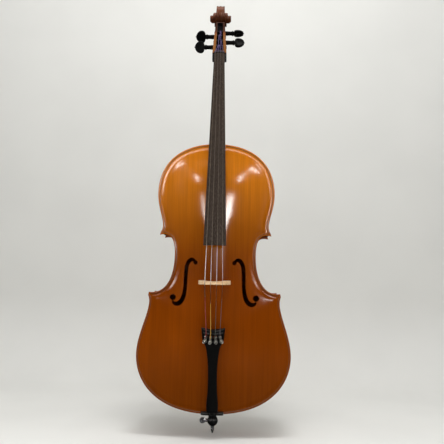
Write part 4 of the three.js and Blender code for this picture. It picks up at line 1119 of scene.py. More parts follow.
PEGS = {
    "c": {"u": 34, "v": 16, "side": -1, "turn": 4},
    "a": {"u": 53, "v": 16, "side": 1, "turn": -24},
    "g": {"u": 73, "v": 14, "side": -1, "turn": 38},
    "d": {"u": 91, "v": 17.5, "side": 1, "turn": 88},
}
PEG_OUTER, PEG_TIP, PEG_NECK, PEG_GAP = 6.6, 5.2, 27, 0.15
PEG_HEAD = {"length": 30, "height": 37, "thickness": 13}


def peg_hole(peg):
    y, z = in_pegbox(peg["u"], peg["v"])
    half = pegbox_half(z)
    slope = (PEG_OUTER - PEG_TIP) / (2 * half + 2.7)
    ends = [-half - 8, half + 8]
    radii = [PEG_TIP + PEG_GAP + slope * (x + half + 0.7) for x in ends]
    profile = [(ends[0], 0), (ends[0], radii[0]), (ends[1], radii[1]), (ends[1], 0)]
    return lathe("peg_hole", profile, (0, y, z), (peg["side"], 0, 0), PEGBOX_INSIDE, sides=40)


def neck_and_scroll():
    parts = [neck_shaft(), pegbox_blank(), volute(), scroll_eye()]
    with bpy.context.temp_override(active_object=parts[0], selected_editable_objects=parts):
        bpy.ops.object.join()
    obj = parts[0]
    obj.name = "neck_and_scroll"
    apply_modifier(obj, "REMESH", mode="VOXEL", voxel_size=0.9 * MM)
    apply_modifier(obj, "SMOOTH", factor=0.5, iterations=5)
    obj.data.materials.clear()
    obj.data.materials.append(NECK_MAPLE)
    obj.data.materials.append(PEGBOX_INSIDE)
    cut(obj, peg_cavity(), *[peg_hole(peg) for peg in PEGS.values()])
    fit(obj, "root", "maple_varnished", "neck_and_scroll")


# ------------------------------------------------------------------ pegs
def peg_head(start):
    """A spade-shaped head, hollowed on both faces, thick along its rim."""
    length, height, thick = PEG_HEAD["length"], PEG_HEAD["height"], PEG_HEAD["thickness"]
    turns = turning(40)
    rings = []
    for share in 0.5 - 0.5 * np.cos(np.linspace(0.02, 0.985, 34) * math.pi):
        if share < 0.42:
            reach = (1 - ((0.42 - share) / 0.42) ** 3) ** 0.5
        else:
            reach = (1 - ((share - 0.42) / 0.58) ** 2.1) ** 0.62
        half = height / 2 * max(reach, 0.08)
        rim = thick / 2 * lerp(1.06, 0.92, share) * min(1, (share / 0.03) ** 0.5, ((1 - share) / 0.06) ** 0.5)
        side = np.cos(turns)
        edge = np.sign(np.sin(turns)) * np.abs(np.sin(turns)) ** 0.7
        hollow = 1 - 0.6 * smooth((share - 0.12) / 0.25) * smooth((0.97 - share) / 0.2) * (1 - side**2) ** 1.5
        x = np.full(40, start + length * share)
        rings.append(np.column_stack([x, rim * edge * hollow, half * side]))
    return rings


def peg(name, place_in):
    y, z = in_pegbox(place_in["u"], place_in["v"])
    half = pegbox_half(z)
    start = half + PEG_NECK
    profile = [
        (-half - 1.5, 0), (-half - 1.5, PEG_TIP - 0.5), (-half - 0.7, PEG_TIP), (half + 2, PEG_OUTER),
        (half + 8, PEG_OUTER), (half + 9, 6.2), (start - 9, 6), (start - 7.5, 6.4), (start - 6, 6.4),
        (start - 5.4, 7.8), (start - 3.2, 7.8), (start - 2.4, 6.6), (start - 1.2, 6.4), (start + 5, 5.2),
        (start + 6, 0),
    ]
    centre = (0, 0, -SPIKE_TO_BODY)
    shaft = lathe(f"peg_{name}_piece", rounded_profile(profile, 0.5), centre, (1, 0, 0), PEG_BLACK)
    head_rings = np.array(peg_head(start - 0.5)) + centre
    head = loft("head", head_rings, PEG_BLACK, sharp=60)
    pip_at = start + PEG_HEAD["length"] - 1.2
    pip = [(pip_at, 0), (pip_at, 1.6), (pip_at + 1, 1.9), (pip_at + 1.9, 1.3), (pip_at + 2.2, 0)]
    pip = lathe("pip", rounded_profile(pip, 0.5), centre, (1, 0, 0), PEG_BLACK, sides=24)
    obj = join(shaft, head, pip)
    turned = Matrix.Rotation(math.radians(place_in["turn"]), 4, "X")
    facing = Matrix.Identity(4) if place_in["side"] > 0 else Matrix.Rotation(math.pi, 4, "Z")
    at = Matrix.Translation(Vector((0, y, z + SPIKE_TO_BODY)) * MM)
    obj.data.transform(at @ turned @ facing)
    shade(obj, 45)
    fit(obj, f"peg_{name}", "peg_black", f"peg_{name}")


WINDING_X = {"c": -5, "g": -3.5, "d": 3, "a": 5}


def peg_winding(name):
    """The string's last turns round its peg, which turn with the peg."""
    y, z = in_pegbox(PEGS[name]["u"], PEGS[name]["v"])
    radius = STRING_RADIUS[name] * 0.9
    reach = PEG_OUTER - 0.3 + radius
    turns = np.linspace(0, 2 * math.pi * 3.6, 110)
    toward = -1 if WINDING_X[name] > 0 else 1
    x = WINDING_X[name] + toward * turns / (2 * math.pi) * 2.1 * radius
    start = -LEAN
    path = np.column_stack([x, y - reach * np.cos(turns + start), z - reach * np.sin(turns + start)])
    obj = tube(f"winding_{name}", path, radius, SILKS["peg"], sides=10)
    fit(obj, f"peg_{name}", "string_metal")


# ------------------------------------------------------------------ fingerboard, nut and saddle
def fingerboard():
    """Round on top, planed flat under the lowest string, and hollow below where it leaves the neck."""
    rings = []
    ends = 1.2 * (1 - np.cos(np.linspace(0, math.pi / 2, 4)))
    middle = np.linspace(BOARD_END_Z + 12, NUT_Z - 8, 46)
    for z in np.r_[BOARD_END_Z + ends, middle, NUT_Z - 0.2 - ends[::-1]]:
        half = board_width(z) / 2
        end = min(z - BOARD_END_Z, NUT_Z - 0.2 - z)
        inset = round_off(np.array(end), 1.2)
        x = np.linspace(half, -half, 41)
        flat_from, flat_to = board_top(np.array([-half / 2, -half]), z)
        flat = lerp(flat_from, flat_to, -1 - 2 * x / half)
        top = np.where(x < -half / 2, flat, board_top(x, z)) + inset + round_off(half - np.abs(x), 0.9)
        hollow = 7.5 * smooth((BODY_LENGTH - 6 - z) / 30) * (1 - (x[::-1] / (half - 3)) ** 2).clip(0)
        under = board_underside(z) - hollow
        ring = np.vstack([np.column_stack([x, top]), np.column_stack([x[::-1], under])])
        rings.append(np.column_stack([ring[:, 0] * (1 - inset / half), ring[:, 1], np.full(len(ring), z)]))
    fit(loft("fingerboard", rings, BOARD_BLACK, sharp=50), "root", "ebony", "fingerboard")


def string_place(span, index):
    return span * (index / 3 - 0.5)


def nut():
    floor = PEGBOX_Y - 0.3
    start = NUT_Z + 0.3
    half = BOARD_WIDTH["nut"] / 2 + 0.3
    rings = []
    for x in np.linspace(half, -half, 121):
        top = board_top(np.array(x), NUT_Z) - 1.6 + round_off(np.array(half - abs(x)), 1.0)
        for i in range(len(STRINGS)):
            top += 0.55 * np.exp(-(((x - string_place(NUT_SPAN, i)) / 0.75) ** 2))
        crest = bezier((top + 0.7, 0), (top - 0.1, 0), (top, 1), (top, 2.4), steps=5)
        fall = bezier((top, 2.4), (top, 4.4), (top + 1.4, 5.5), (top + 3, 5.5), steps=7)
        section = chain([(floor, 0)], crest, fall, [(floor, 5.5)])
        rings.append(section_at(x, section, start))
    fit(loft("nut", rings, EBONY), "root", "ebony", "nut")


def saddle():
    high, height, under = EDGE_Y - SADDLE["rise"], SADDLE["height"], -SADDLE["out"]
    base = -HALF_RIB - 0.3
    rings = []
    for x in np.linspace(SADDLE["half"], -SADDLE["half"], 49):
        end = SADDLE["half"] - abs(x)
        drop = 3.2 * (1 - smooth(end / 9)) + round_off(np.array(end), 0.8)
        top = high + drop
        front = bezier((EDGE_Y, height), (top - 3, height), (top - 3, 3), (top, 0.8), steps=9)
        lower = bezier((top, 0.8), (top + 0.6, -0.9), (top + 2, under), (EDGE_Y + 1, under), steps=6)
        section = chain([(base, height)], front, lower, [(base, under)])
        rings.append(section_at(x, section))
    fit(loft("saddle", rings, EBONY), "root", "ebony", "saddle")


# ------------------------------------------------------------------ bridge
BRIDGE = {"feet": 90, "crown": 64, "radius": 62, "thick": 11, "thin": 2.8}
BRIDGE_REAR = BRIDGE_Z - BRIDGE["thick"] / 2


def bridge_outline():
    """The bridge from the front, as (x, height over the belly's ridge)."""
    half = BRIDGE["feet"] / 2
    under = np.linspace(25, half - 1, 15)
    sole = ARCHING.over_edge(np.column_stack([under, np.full(15, BRIDGE_Z)])) - ARCH + 0.05
    crown_x = np.linspace(BRIDGE["crown"] / 2, 0, 40)
    crown = BRIDGE_HEIGHT - arc_drop(BRIDGE["radius"], crown_x)
    for index in range(len(STRINGS) // 2):
        crown -= 0.5 * np.exp(-(((crown_x - abs(string_place(BRIDGE_SPAN, index))) / 0.9) ** 2))
    treble = chain(
        np.column_stack([under, sole]),
        bezier((half - 1, sole[-1]), (half, sole[-1]), (half, sole[-1]), (half, sole[-1] + 1), steps=4),
        bezier((half, 0), (42, 6), (36, 8), (34, 25), steps=16),
        bezier((34, 25), (33, 32), (39, 33), (40, 38), steps=8),
        bezier((40, 38), (42, 46), (30, 46), (29, 55), steps=14),
        bezier((29, 55), (28, 64), (32, 72), (BRIDGE["crown"] / 2, crown[0]), steps=14),
        np.column_stack([crown_x, crown]),
    )
    leg_arch = bezier((-25, 3), (-22, 40), (22, 40), (25, 3), steps=36)
    return np.vstack([treble, across(treble)[1:], leg_arch])


def bridge():
    heart = chain(
        bezier((0, 46), (10, 50), (13, 62), (6, 62), steps=14),
        bezier((6, 62), (3, 62), (1.5, 60), (0, 57), steps=7),
    )
    heart = np.vstack([heart, across(heart)[1:-1]])
    turns = turning(28)
    kidney = np.column_stack([8 * np.cos(turns), 40 + 4.4 * np.sin(turns) - 1.2 * np.cos(turns) ** 2])
    holes = [heart, kidney + (23, 0), kidney - (23, 0)]
    outline = bridge_outline()
    border = [outline, *holes]

    def faces_at(points):
        depth = np.min([distance_to(loop, points, closed=True) for loop in border], axis=0)
        drop = round_off(depth, 0.7)
        y = EDGE_Y - ARCH - points[:, 1]
        share = np.clip(points[:, 1] / BRIDGE_HEIGHT, 0, 1)
        thick = lerp(BRIDGE["thick"], BRIDGE["thin"], share) + 0.9 * np.sin(math.pi * share)
        front = np.column_stack([points[:, 0], y, BRIDGE_REAR + thick - drop])
        return front, np.column_stack([points[:, 0], y, BRIDGE_REAR + drop])

    obj = sheet("bridge", outline, holes, 3, faces_at, BRIDGE_MAPLE, (0.25, 0.8, 2), (0.25, 0.8))
    fit(obj, "root", "maple_bare", "bridge")


# ------------------------------------------------------------------ tailpiece
SADDLE_TOP = (EDGE_Y - SADDLE["rise"] - 2.9, 1)
PULL = math.atan2(SADDLE_TOP[0] - CROWN_Y, BRIDGE_Z - SADDLE_TOP[1])
TAIL = {"z": 235, "length": 233, "radius": 45}
TAIL_TILT = 0.055
TAIL_Y = lerp(CROWN_Y, SADDLE_TOP[0], (BRIDGE_Z - TAIL["z"]) / (BRIDGE_Z - SADDLE_TOP[1]))
TAIL_FRAME = Matrix.Translation((0, TAIL_Y, TAIL["z"])) @ Matrix.Rotation(PULL, 4, "X")
FRET = {"z": -11, "rise": 4.8, "span": 27}
# Distances down the tailpiece, with half its width there.
TAIL_HALF = [
    (0, 32.5), (14, 31.3), (30, 29.5), (38, 27), (45, 22), (54, 18.6),
    (66, 16.6), (94, 13.4), (135, 12.2), (175, 13), (215, 16), (233, 15.3),
]
GUT = {"radius": 1.6, "x": 6, "depth": 22, "loop_z": -13}


def tail_face(x, z):
    return FRET["rise"] + 0.8 + TAIL_TILT * (z - FRET["z"]) + arc_drop(TAIL["radius"], x)


def tail_half(distance):
    return through(TAIL_HALF, np.atleast_1d(distance))[0]


def tailpiece():
    rings = []
    ends = 2.2 * (1 - np.cos(np.linspace(0, math.pi / 2, 5)))
    last = TAIL["length"]
    for distance in np.r_[ends, np.linspace(5, last - 6, 70), last - ends[::-1] * 1.8]:
        end = min(distance, (last - distance) / 1.8)
        inset = round_off(np.array(end), 2.2)
        half = tail_half(distance) - inset * (0.4 if distance < 10 else 2.2)
        turns = np.linspace(0, math.pi, 49)
        x = half * np.sign(np.cos(turns)) * np.abs(np.cos(turns)) ** 0.9
        z = -distance - 4 * (1 - (x / TAIL_HALF[0][1]) ** 2) * (1 - smooth(distance / 30))
        edge = round_off(half - np.abs(x), 1.6)
        top = tail_face(x, z) + inset + edge
        wall = lerp(5, 9, smooth((distance - 40) / 70))
        hollow = smooth((70 - distance) / 30)
        full = tail_face(np.array(half), -distance) + lerp(4.5, 8.5, distance / last)
        curved = tail_face(x[::-1], z[::-1]) + wall - 2 * edge[::-1]
        under = lerp(np.minimum(full - edge[::-1], curved + 3), curved, hollow) - inset
        rings.append([*zip(x, top, z), *zip(x[::-1] * 0.985, under, z[::-1])])
    obj = moved(loft("tailpiece", rings, TAIL_BLACK, sharp=50), TAIL_FRAME)
    slot = [(-20, 2.2), (20, 2.2), (20, -7.4), (-20, -7.4)]
    for index in range(len(STRINGS)):
        for cutter in (
            prism("slot", slot, 4.5, TAIL_BLACK),
            drill("hole", 2.4, -20, 20, (0, 0, SCREW["z"]), (0, 1, 0), TAIL_BLACK, sides=24),
        ):
            cut(obj, moved(cutter, tuner_frame(index)))
    for side in (-1, 1):
        start = (side * GUT["x"], 0, GUT["depth"] + 2 - last)
        hole = drill("gut_hole", 2.4, 0, 40, start, (0, 0, -1), TAIL_BLACK, sides=20)
        cut(obj, moved(hole, TAIL_FRAME))
    fit(obj, "root", "fitting_black", "tailpiece")


def tailpiece_fret():
    rings = []
    for x in np.linspace(FRET["span"], -FRET["span"], 61):
        end = FRET["span"] - abs(x)
        drop = 2.4 * (1 - smooth(end / 5))
        foot = tail_face(np.array(x), FRET["z"]) + 0.2
        crest = foot - 0.2 - FRET["rise"] + drop
        for i in range(len(STRINGS)):
            crest += 0.4 * np.exp(-(((x - string_place(TAIL_SPAN, i)) / 0.9) ** 2))
        rise = bezier((foot, -2.1), (crest + 1, -1.5), (crest, -1.2), (crest, 0), steps=8)
        rings.append(section_at(x, chain(rise, rise[::-1] * (1, -1)), FRET["z"]))
    obj = moved(loft("tailpiece_fret", rings, EBONY), TAIL_FRAME)
    fit(obj, "root", "ebony", "tailpiece_fret")


# ------------------------------------------------------------------ fine tuners
TUNER_Z = -19
SCREW = {"z": -15, "radius": 1.7, "head": 4.4, "from": -9.5, "to": -5.3, "tip": 6}
PIVOT = {"y": 8, "z": -4.6, "radius": 1.4, "half": 4.1}
HOOK_Y = -4
BALL = {"from": -5.4, "to": -8.4, "radius": 1.9}


def tuner_frame(index):
    """Each tuner's own frame: y = 0 is the tailpiece's face, and z runs up along it."""
    x = string_place(TAIL_SPAN, index)
    at = Matrix.Translation((x, tail_face(np.array(x), TUNER_Z), TUNER_Z))
    roll = Matrix.Rotation(math.asin(x / TAIL["radius"]), 4, "Z")
    tilt = Matrix.Rotation(-math.atan(TAIL_TILT), 4, "X")
    splay = Matrix.Rotation(math.radians(-x / 1.8), 4, "Y")
    return TAIL_FRAME @ at @ roll @ tilt @ splay


def tuner_bracket(index, name):
    round_end = arc((0, SCREW["z"]), 5.5, math.pi - 0.35, 2 * math.pi + 0.35, 26)
    flank = bezier(round_end[-1], (4.4, -10.5), (2.9, -9), (2.7, -2.2), steps=10)
    outline = resample(chain(flank, across(flank), round_end, round_end[-1:]), 0.8)[:-1]
    hole = arc((0, SCREW["z"]), SCREW["radius"] + 0.3, 0, 2 * math.pi, 20)[:-1]

    def faces_at(points):
        drop = round_off(distance_to(outline, points, closed=True), 0.6)
        return lift(points, -1.8 + drop), lift(points, np.full(len(points), -0.25))

    obj = sheet(f"tuner_bracket_{name}_piece", outline, [hole], 1.2, faces_at, TUNER_STEEL, (0.2, 0.6))
    profile = [(-1.6, 2.05), (-4.5, 2.05), (-4.9, 2.4), (-4.9, 2.9), (-4.5, 3.3), (-1.6, 3.5)]
    rings = [circle_at(radius, turning(32), along, 1, (0, SCREW["z"])) for along, radius in profile]
    boss = loft("boss", rings, TUNER_STEEL, closed=True)
    ears = []
    for side in (-1, 1):
        ear = prism("ear", [(-1, -2.6), (10.6, -2.6), (10.6, -6.6), (-1, -6.6)], 0.5, TUNER_STEEL, bevel=0.3)
        ear.data.transform(Matrix.Translation((side * 3.35 * MM, 0, 0)))
        ears.append(ear)
    join(obj, boss, *ears)
    moved(obj, tuner_frame(index))
    fit(obj, "root", "tuner_steel", f"tuner_bracket_{name}")


def tuner_lever(index, name):
    outline = [(-4.5, -3.2), (-5.5, -1.2), (-4.5, 0.8), (9.5, 0.8), (9.5, -17.5), (6.4, -17.5), (6.4, -3.2)]
    obj = prism(f"tuner_lever_{name}_piece", outline, 2.3, TUNER_STEEL, bevel=0.5, segments=3)
    groove = prism("groove", [(-8.2, 5), (-2.2, 5), (-2.2, -7), (-8.2, -7)], 1.25, TUNER_STEEL)
    half, centre = PIVOT["half"], (0, PIVOT["y"], PIVOT["z"])
    pin = drill("pin", PIVOT["radius"], -half, half, centre, (1, 0, 0), TUNER_STEEL, sides=24)
    cut(obj, groove)
    join(obj, pin)
    moved(obj, tuner_frame(index))
    fit(obj, f"tuner_lever_{name}", "tuner_steel", f"tuner_lever_{name}")


def tuner_screw(index, name):
    """A knurled thumbscrew whose head is hollowed at its middle."""
    head, shaft, front, rear, tip = [SCREW[key] for key in ("head", "radius", "from", "to", "tip")]
    profile = [
        (front + 1.8, 0), (front + 1.6, 1.7), (front + 0.3, 2.5), (front, 2.9), (front, head - 0.7),
        (front + 0.6, head - 0.1), (rear - 0.8, head - 0.1), (rear, head - 0.8), (rear, shaft + 0.1),
        (rear + 0.3, shaft), (tip - 0.8, shaft), (tip, shaft - 0.8), (tip, 0),
    ]
    turns = turning(96)
    rings = []
    for along, radius in profile:
        knurl = 0.11 * np.sign(np.cos(24 * turns)) * (radius > head - 0.2)
        rings.append(circle_at(radius + knurl, turns, along, 1, (0, SCREW["z"])))
    obj = loft(f"tuner_screw_{name}_piece", rings, TUNER_STEEL, sharp=35)
    moved(obj, tuner_frame(index))
    fit(obj, f"tuner_screw_{name}", "tuner_steel", f"tuner_screw_{name}")


# ------------------------------------------------------------------ endpin and tail gut
COLLAR = {"shank": 12, "bulb": 15.3, "z": -31.5, "rim": 6.8, "neck": 11, "lip": 15, "top": 44}
ROD = {"radius": 5, "from": -53, "to": 427}
THUMB = {"from": -20, "to": -38, "half": 8.5, "thick": 4.5}


def endpin_collar():
    bulb, centre = COLLAR["bulb"], COLLAR["z"]
    turns = np.linspace(math.asin(COLLAR["rim"] / bulb), math.pi - math.asin(COLLAR["neck"] / bulb), 26)
    ball = [(centre - bulb * math.cos(turn), bulb * math.sin(turn)) for turn in turns]
    lip, seat, top, neck = COLLAR["lip"], OVERHANG - 0.3, COLLAR["top"], COLLAR["neck"]
    stem = [
        (-19, neck), (-15, neck - 0.4), (-9.5, neck - 0.2), (-8, neck + 0.6), (-5, lip - 0.6),
        (-4, lip), (seat, lip), (seat, COLLAR["shank"]), (top, COLLAR["shank"] - 1),
    ]
    bore = ROD["radius"] + 0.3
    outer = ball + rounded_profile([ball[-1], *stem], 0.8)[1:]
    profile = [*outer, (top, bore), (ball[0][0], bore)]
    rings = [circle_at(radius, turning(64), along, 2) for along, radius in profile]
    obj = loft("endpin_collar", rings, RUBBER_BLACK, closed=True)
    cut(obj, drill("screw_hole", 3.3, 0, 30, (0, 0, centre), (-1, 0, 0), RUBBER_BLACK))
    fit(obj, "root", "fitting_black", "endpin_collar")


def thumbscrew():
    z = COLLAR["z"]
    near = ROD["radius"] + 0.3
    shaft = [
        (near, 0), (near, 2.6), (near + 0.5, 3), (14.9, 3), (15.6, 5),
        (18.6, 5), (19.6, 4.2), (21.5, 3.4), (24, 2.4), (24, 0),
    ]
    obj = lathe("thumbscrew", rounded_profile(shaft, 0.4), (0, 0, z), (-1, 0, 0), STEEL, sides=48)
    middle, reach = (THUMB["from"] + THUMB["to"]) / 2, (THUMB["from"] - THUMB["to"]) / 2
    turns = turning(56)
    waist = 1 - 0.12 * np.exp(-((np.cos(turns) + 1) / 0.12) ** 2)
    outline = np.column_stack([middle + reach * np.cos(turns) * waist, z + THUMB["half"] * np.sin(turns)])

    def faces_at(points):
        drop = round_off(distance_to(outline, points, closed=True), 1.4)
        dimple = 0.8 * np.exp(-(((points[:, 0] - middle) ** 2 + (points[:, 1] - z) ** 2) / 14))
        half = THUMB["thick"] / 2 - drop - dimple
        return lift(points, -half), lift(points, half)

    paddle = sheet("paddle", outline, [], 1.4, faces_at, STEEL, (0.3, 0.8, 1.4))
    join(obj, paddle)
    fit(obj, "thumbscrew", "steel", "thumbscrew")


def endpin():
    radius = ROD["radius"]
    rod_profile = [(ROD["from"], 0), (ROD["from"], radius), (ROD["to"], radius), (ROD["to"], 0)]
    rod = lathe("endpin_rod", rounded_profile(rod_profile, 0.5), (0, 0, 0), (0, 0, 1), STEEL, sides=48)
    fit(rod, "endpin", "steel", "endpin_rod")
    top, point = ROD["from"] - 0.3, -SPIKE_TO_BODY
    cone = [
        (point, 0), (point, 0.7), (point + 0.8, 1.3), (top - 2.4, radius - 0.1),
        (top - 0.6, radius), (top, radius - 0.4), (top, 0),
    ]
    tip = lathe("endpin_tip", rounded_profile(cone, 0.4), (0, 0, 0), (0, 0, 1), STEEL, sides=48)
    fit(tip, "endpin", "steel", "endpin_tip")


def from_tail(x, y, z):
    return TAIL_FRAME @ Vector((x, float(y), z))


def tail_gut():
    last = TAIL["length"]

    def strand(side):
        x = side * GUT["x"]
        inside_tail = [from_tail(x, 0, GUT["depth"] - last), from_tail(x, 0, -1 - last)]
        return [*inside_tail, (side * 7, *SADDLE_TOP), (side * 7.3, SADDLE_TOP[0] + 0.6, -3.8)]

    reach = COLLAR["neck"] + 0.3 + GUT["radius"]
    loop = circle_at(reach, np.linspace(0, math.pi, 15), GUT["loop_z"], 2)
    path = bent([*strand(1), *loop, *strand(-1)[::-1]], 3)
    fit(tube("tailgut", path, GUT["radius"], CORD, sides=16), "root", "cord_black", "tailgut")


# ------------------------------------------------------------------ strings
SILK_SHARE = {"c": 0.75, "g": 0.62, "d": 0.7, "a": 0.7}


def bridge_top(x):
    return CROWN_Y + arc_drop(BRIDGE["radius"], x)


def string_path(index, name):
    radius = STRING_RADIUS[name]
    over = radius + 0.1
    y, z = in_pegbox(PEGS[name]["u"], PEGS[name]["v"] - PEG_OUTER - 0.3 - radius)
    nut_x, bridge_x, tail_x = [string_place(span, index) for span in (NUT_SPAN, BRIDGE_SPAN, TAIL_SPAN)]
    nut_y = board_top(np.array(nut_x), NUT_Z) - 1.6 - over + 0.3
    crown = bridge_top(np.array(bridge_x)) - over + 0.3
    hook = [tuner_frame(index) @ Vector((0, HOOK_Y, z_in)) for z_in in (2, BALL["from"])]
    fret_y = tail_face(np.array(tail_x), FRET["z"]) - FRET["rise"] - over + 0.3
    upper = [(WINDING_X[name], y, z), (nut_x, nut_y, NUT_Z + 4.2), (nut_x, nut_y, NUT_Z + 0.5)]
    middle = [(bridge_x, crown, BRIDGE_REAR + BRIDGE["thin"]), (bridge_x, crown, BRIDGE_REAR)]
    lower = [from_tail(tail_x, fret_y, FRET["z"]), *hook]
    return np.array([tuple(map(float, p)) for p in upper + middle + lower])


def strings():
    """Each string in three runs: silk at both ends and bare winding between, with a ball at its lower end."""
    for index, name in enumerate(STRINGS):
        radius = STRING_RADIUS[name]
        path = string_path(index, name)
        split = lerp(path[4], path[5], 1 - SILK_SHARE[name])
        fuller = radius * 1.08
        runs = {
            "string": (np.vstack([path[2:5], split]), radius, STRING_METAL),
            "lower_silk": (np.vstack([split, path[5:]]), fuller, SILKS[name]),
            "upper_silk": (path[:3], fuller, SILKS["peg"]),
        }
        for part, (run, thick, material) in runs.items():
            fine = resample(bent(run, 1.5), 6) if part == "string" else bent(run, 1.5)
            piece = tube(f"{part}_{name}_piece", fine, thick, material, sides=14)
            fit(piece, "root", "string_metal", *([f"string_{name}"] if part == "string" else []))
        near, far, reach = BALL["from"], BALL["to"], BALL["radius"]
        profile = rounded_profile([(near, 0), (near, reach), (far, reach), (far, 0)], 0.5)
        ball = lathe(f"string_ball_{name}", profile, (0, HOOK_Y, 0), (0, 0, 1), TUNER_STEEL, sides=24)
        fit(moved(ball, tuner_frame(index)), "root", "string_metal")


# ------------------------------------------------------------------ the finish of the CAD nodes that stay
def inner_woodwork():
    for name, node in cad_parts.items():
        if not node.hide_render:
            node.data.materials.clear()
            node.data.materials.append(BARE_SPRUCE)
            node.data.shade_smooth()
            node.data.set_sharp_from_angle(angle=math.radians(30))


# ------------------------------------------------------------------ floor, backdrop, light and camera
def backdrop():
    """A pale floor that turns up into a pale wall."""
    width, depth, rear, height, bend = 6.0, 4.0, 0.95, 5.0, 0.35
    turns = np.linspace(0, math.pi / 2, 14)
    curve = [(rear - bend + bend * math.sin(turn), bend - bend * math.cos(turn)) for turn in turns]
    profile = [(-depth, 0.0), *curve, (rear, height)]
    points = [(x, y, z) for y, z in profile for x in (-width, width)]
    faces = [(2 * k, 2 * k + 1, 2 * k + 3, 2 * k + 2) for k in range(len(profile) - 1)]
    mesh = bpy.data.meshes.new("backdrop")
    mesh.from_pydata(points, [], faces)
    mesh.materials.append(pale_ground("backdrop_pale", (0.9, 0.9, 0.885)))
    mesh.shade_smooth()
    obj = bpy.data.objects.new("backdrop", mesh)
    bpy.context.scene.collection.objects.link(obj)


def area_light(name, at, target, size, power, reflected=False):
    """A soft light. Some only light the surfaces, the others are only seen reflected in them."""
    data = bpy.data.lights.new(name, "AREA")
    data.shape = "RECTANGLE"
    data.size, data.size_y = size
    data.energy = power
    obj = bpy.data.objects.new(name, data)
    obj.visible_glossy = reflected
    obj.visible_camera = False
    obj.visible_diffuse = not reflected
    obj.location = at
    obj.rotation_mode = "QUATERNION"
    obj.rotation_quaternion = (Vector(target) - Vector(at)).to_track_quat("-Z", "Y")
    bpy.context.scene.collection.objects.link(obj)
    return obj


def room_light():
    """Pale to the camera. Reflections see it bright above and at the sides, and dim low in front."""
    world = bpy.data.worlds.new("room")
    world.use_nodes = True
    nodes = Nodes(world.node_tree)
    place = nodes.add("ShaderNodeTexCoord").outputs["Generated"]
    x, y, z = nodes.add("ShaderNodeSeparateXYZ", {0: place}).outputs
    # Glossy surfaces see a ring of windows ahead, from eye level up, brighter to the treble side.
    aside = nodes.math("SQRT", nodes.math("SUBTRACT", 1.0, nodes.product(y, y)))
    windows = nodes.between(nodes.math("SUBTRACT", aside, nodes.product(z, 0.25)), 0.47, 0.54)
    windows = nodes.product(windows, nodes.between(y, -0.77, -0.7, 1.0, 0.0))
    windows = nodes.product(windows, nodes.between(z, 0.12, 0.24))
    windows = nodes.product(windows, nodes.between(z, 0.91, 0.97, 1.0, 0.0))
    treble = nodes.between(x, -0.4, 0.4, 16.0, 21.0)
    overhead = nodes.between(z, 0.86, 0.97, 0.02, 1.8)
    sides = nodes.between(y, -0.6, -0.3, 0.0, 1.3)
    in_gloss = nodes.math("ADD", nodes.product(windows, treble), nodes.math("ADD", overhead, sides))
    rays = nodes.add("ShaderNodeLightPath").outputs
    strength = nodes.either(rays["Is Glossy Ray"], 0.28, in_gloss)
    strength = nodes.either(rays["Is Camera Ray"], strength, 0.84)
    sky = nodes.add("ShaderNodeBackground", {"Color": (1.0, 0.985, 0.96, 1), "Strength": strength})
    nodes.add("ShaderNodeOutputWorld", {0: sky.outputs[0]})
    bpy.context.scene.world = world


def sighted(azimuth, elevation, distance, height):
    """A place in front of the belly, at angles seen from it."""
    turn, rise = math.radians(azimuth), math.radians(elevation)
    flat = distance * math.cos(rise)
    return flat * math.sin(turn), -flat * math.cos(turn) - 0.08, height + distance * math.sin(rise)


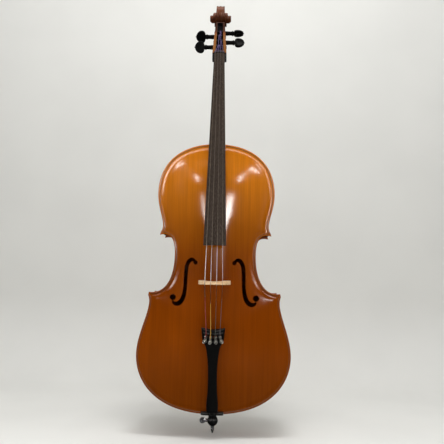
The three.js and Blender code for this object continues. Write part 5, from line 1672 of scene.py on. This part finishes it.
def lights():
    room_light()
    area_light("ceiling", (0, -1.15, 2.8), (0, 0, 0.8), (2.4, 0.9), 19)
    area_light("ceiling_lamp", (0.1, -0.7, 2.6), (0, -0.05, 0.7), (0.7, 0.2), 17)
    area_light("wall_wash", (0, -0.4, 3.2), (0, 0.9, 1.2), (3.5, 0.5), 21)
    area_light("floor_wash", (0, -1.0, 0.5), (0, -0.99, 0), (3.0, 1.0), 10)
    for name, azimuth, width, power in [("window_treble", 12.6, 0.3, 9), ("window_bass", -15.0, 0.16, 2.2)]:
        at = sighted(azimuth, 6.4, 3.0, 0.6)
        area_light(name, at, (0, -0.08, 0.6), (width, 0.36), power, reflected=True)
    for side in (-1, 1):
        place = sighted(19.5 * side, 22.5, 3.0, 0.74)
        area_light(f"lamp_{side + 1}", place, (0, -0.08, 0.74), (0.05, 0.34), 2.4, reflected=True)
    area_light("doorway", sighted(0, 2.5, 3.0, 0.5), (0, -0.08, 0.5), (0.5, 0.3), 0.6, reflected=True)


# In metres, degrees and, for the lens, millimetres on a sensor 36 mm wide.
CAMERA = {"at": (0.0388, -1.5972, 0.4418), "pitch": 5.918, "yaw": -0.793, "roll": 1.063, "lens": 43.78}


def camera():
    data = bpy.data.cameras.new("camera")
    data.sensor_width = 36
    data.lens = CAMERA["lens"]
    obj = bpy.data.objects.new("camera", data)
    pitch, yaw, roll = [math.radians(CAMERA[key]) for key in ("pitch", "yaw", "roll")]
    ahead = Vector((math.sin(yaw) * math.cos(pitch), math.cos(yaw) * math.cos(pitch), math.sin(pitch)))
    right = ahead.cross(Vector((0, 0, 1))).normalized()
    up = right.cross(ahead)
    turned_right = right * math.cos(roll) + up * math.sin(roll)
    turned_up = up * math.cos(roll) - right * math.sin(roll)
    axes = Matrix((turned_right, turned_up, -ahead)).transposed().to_4x4()
    obj.matrix_world = Matrix.Translation(CAMERA["at"]) @ axes
    bpy.context.scene.collection.objects.link(obj)
    bpy.context.scene.camera = obj


# ------------------------------------------------------------------ the whole instrument
belly()
back()
purfling("belly", -1)
purfling("back", 1)
ribs()
neck_and_scroll()
for peg_name, peg_place in PEGS.items():
    peg(peg_name, peg_place)
    peg_winding(peg_name)
fingerboard()
nut()
saddle()
bridge()
tailpiece()
tailpiece_fret()
for tuner_index, tuner_name in enumerate(STRINGS):
    tuner_bracket(tuner_index, tuner_name)
    tuner_lever(tuner_index, tuner_name)
    tuner_screw(tuner_index, tuner_name)
endpin_collar()
thumbscrew()
endpin()
tail_gut()
strings()
inner_woodwork()
backdrop()
lights()
camera()
bpy.context.scene.view_settings.view_transform = "Standard"
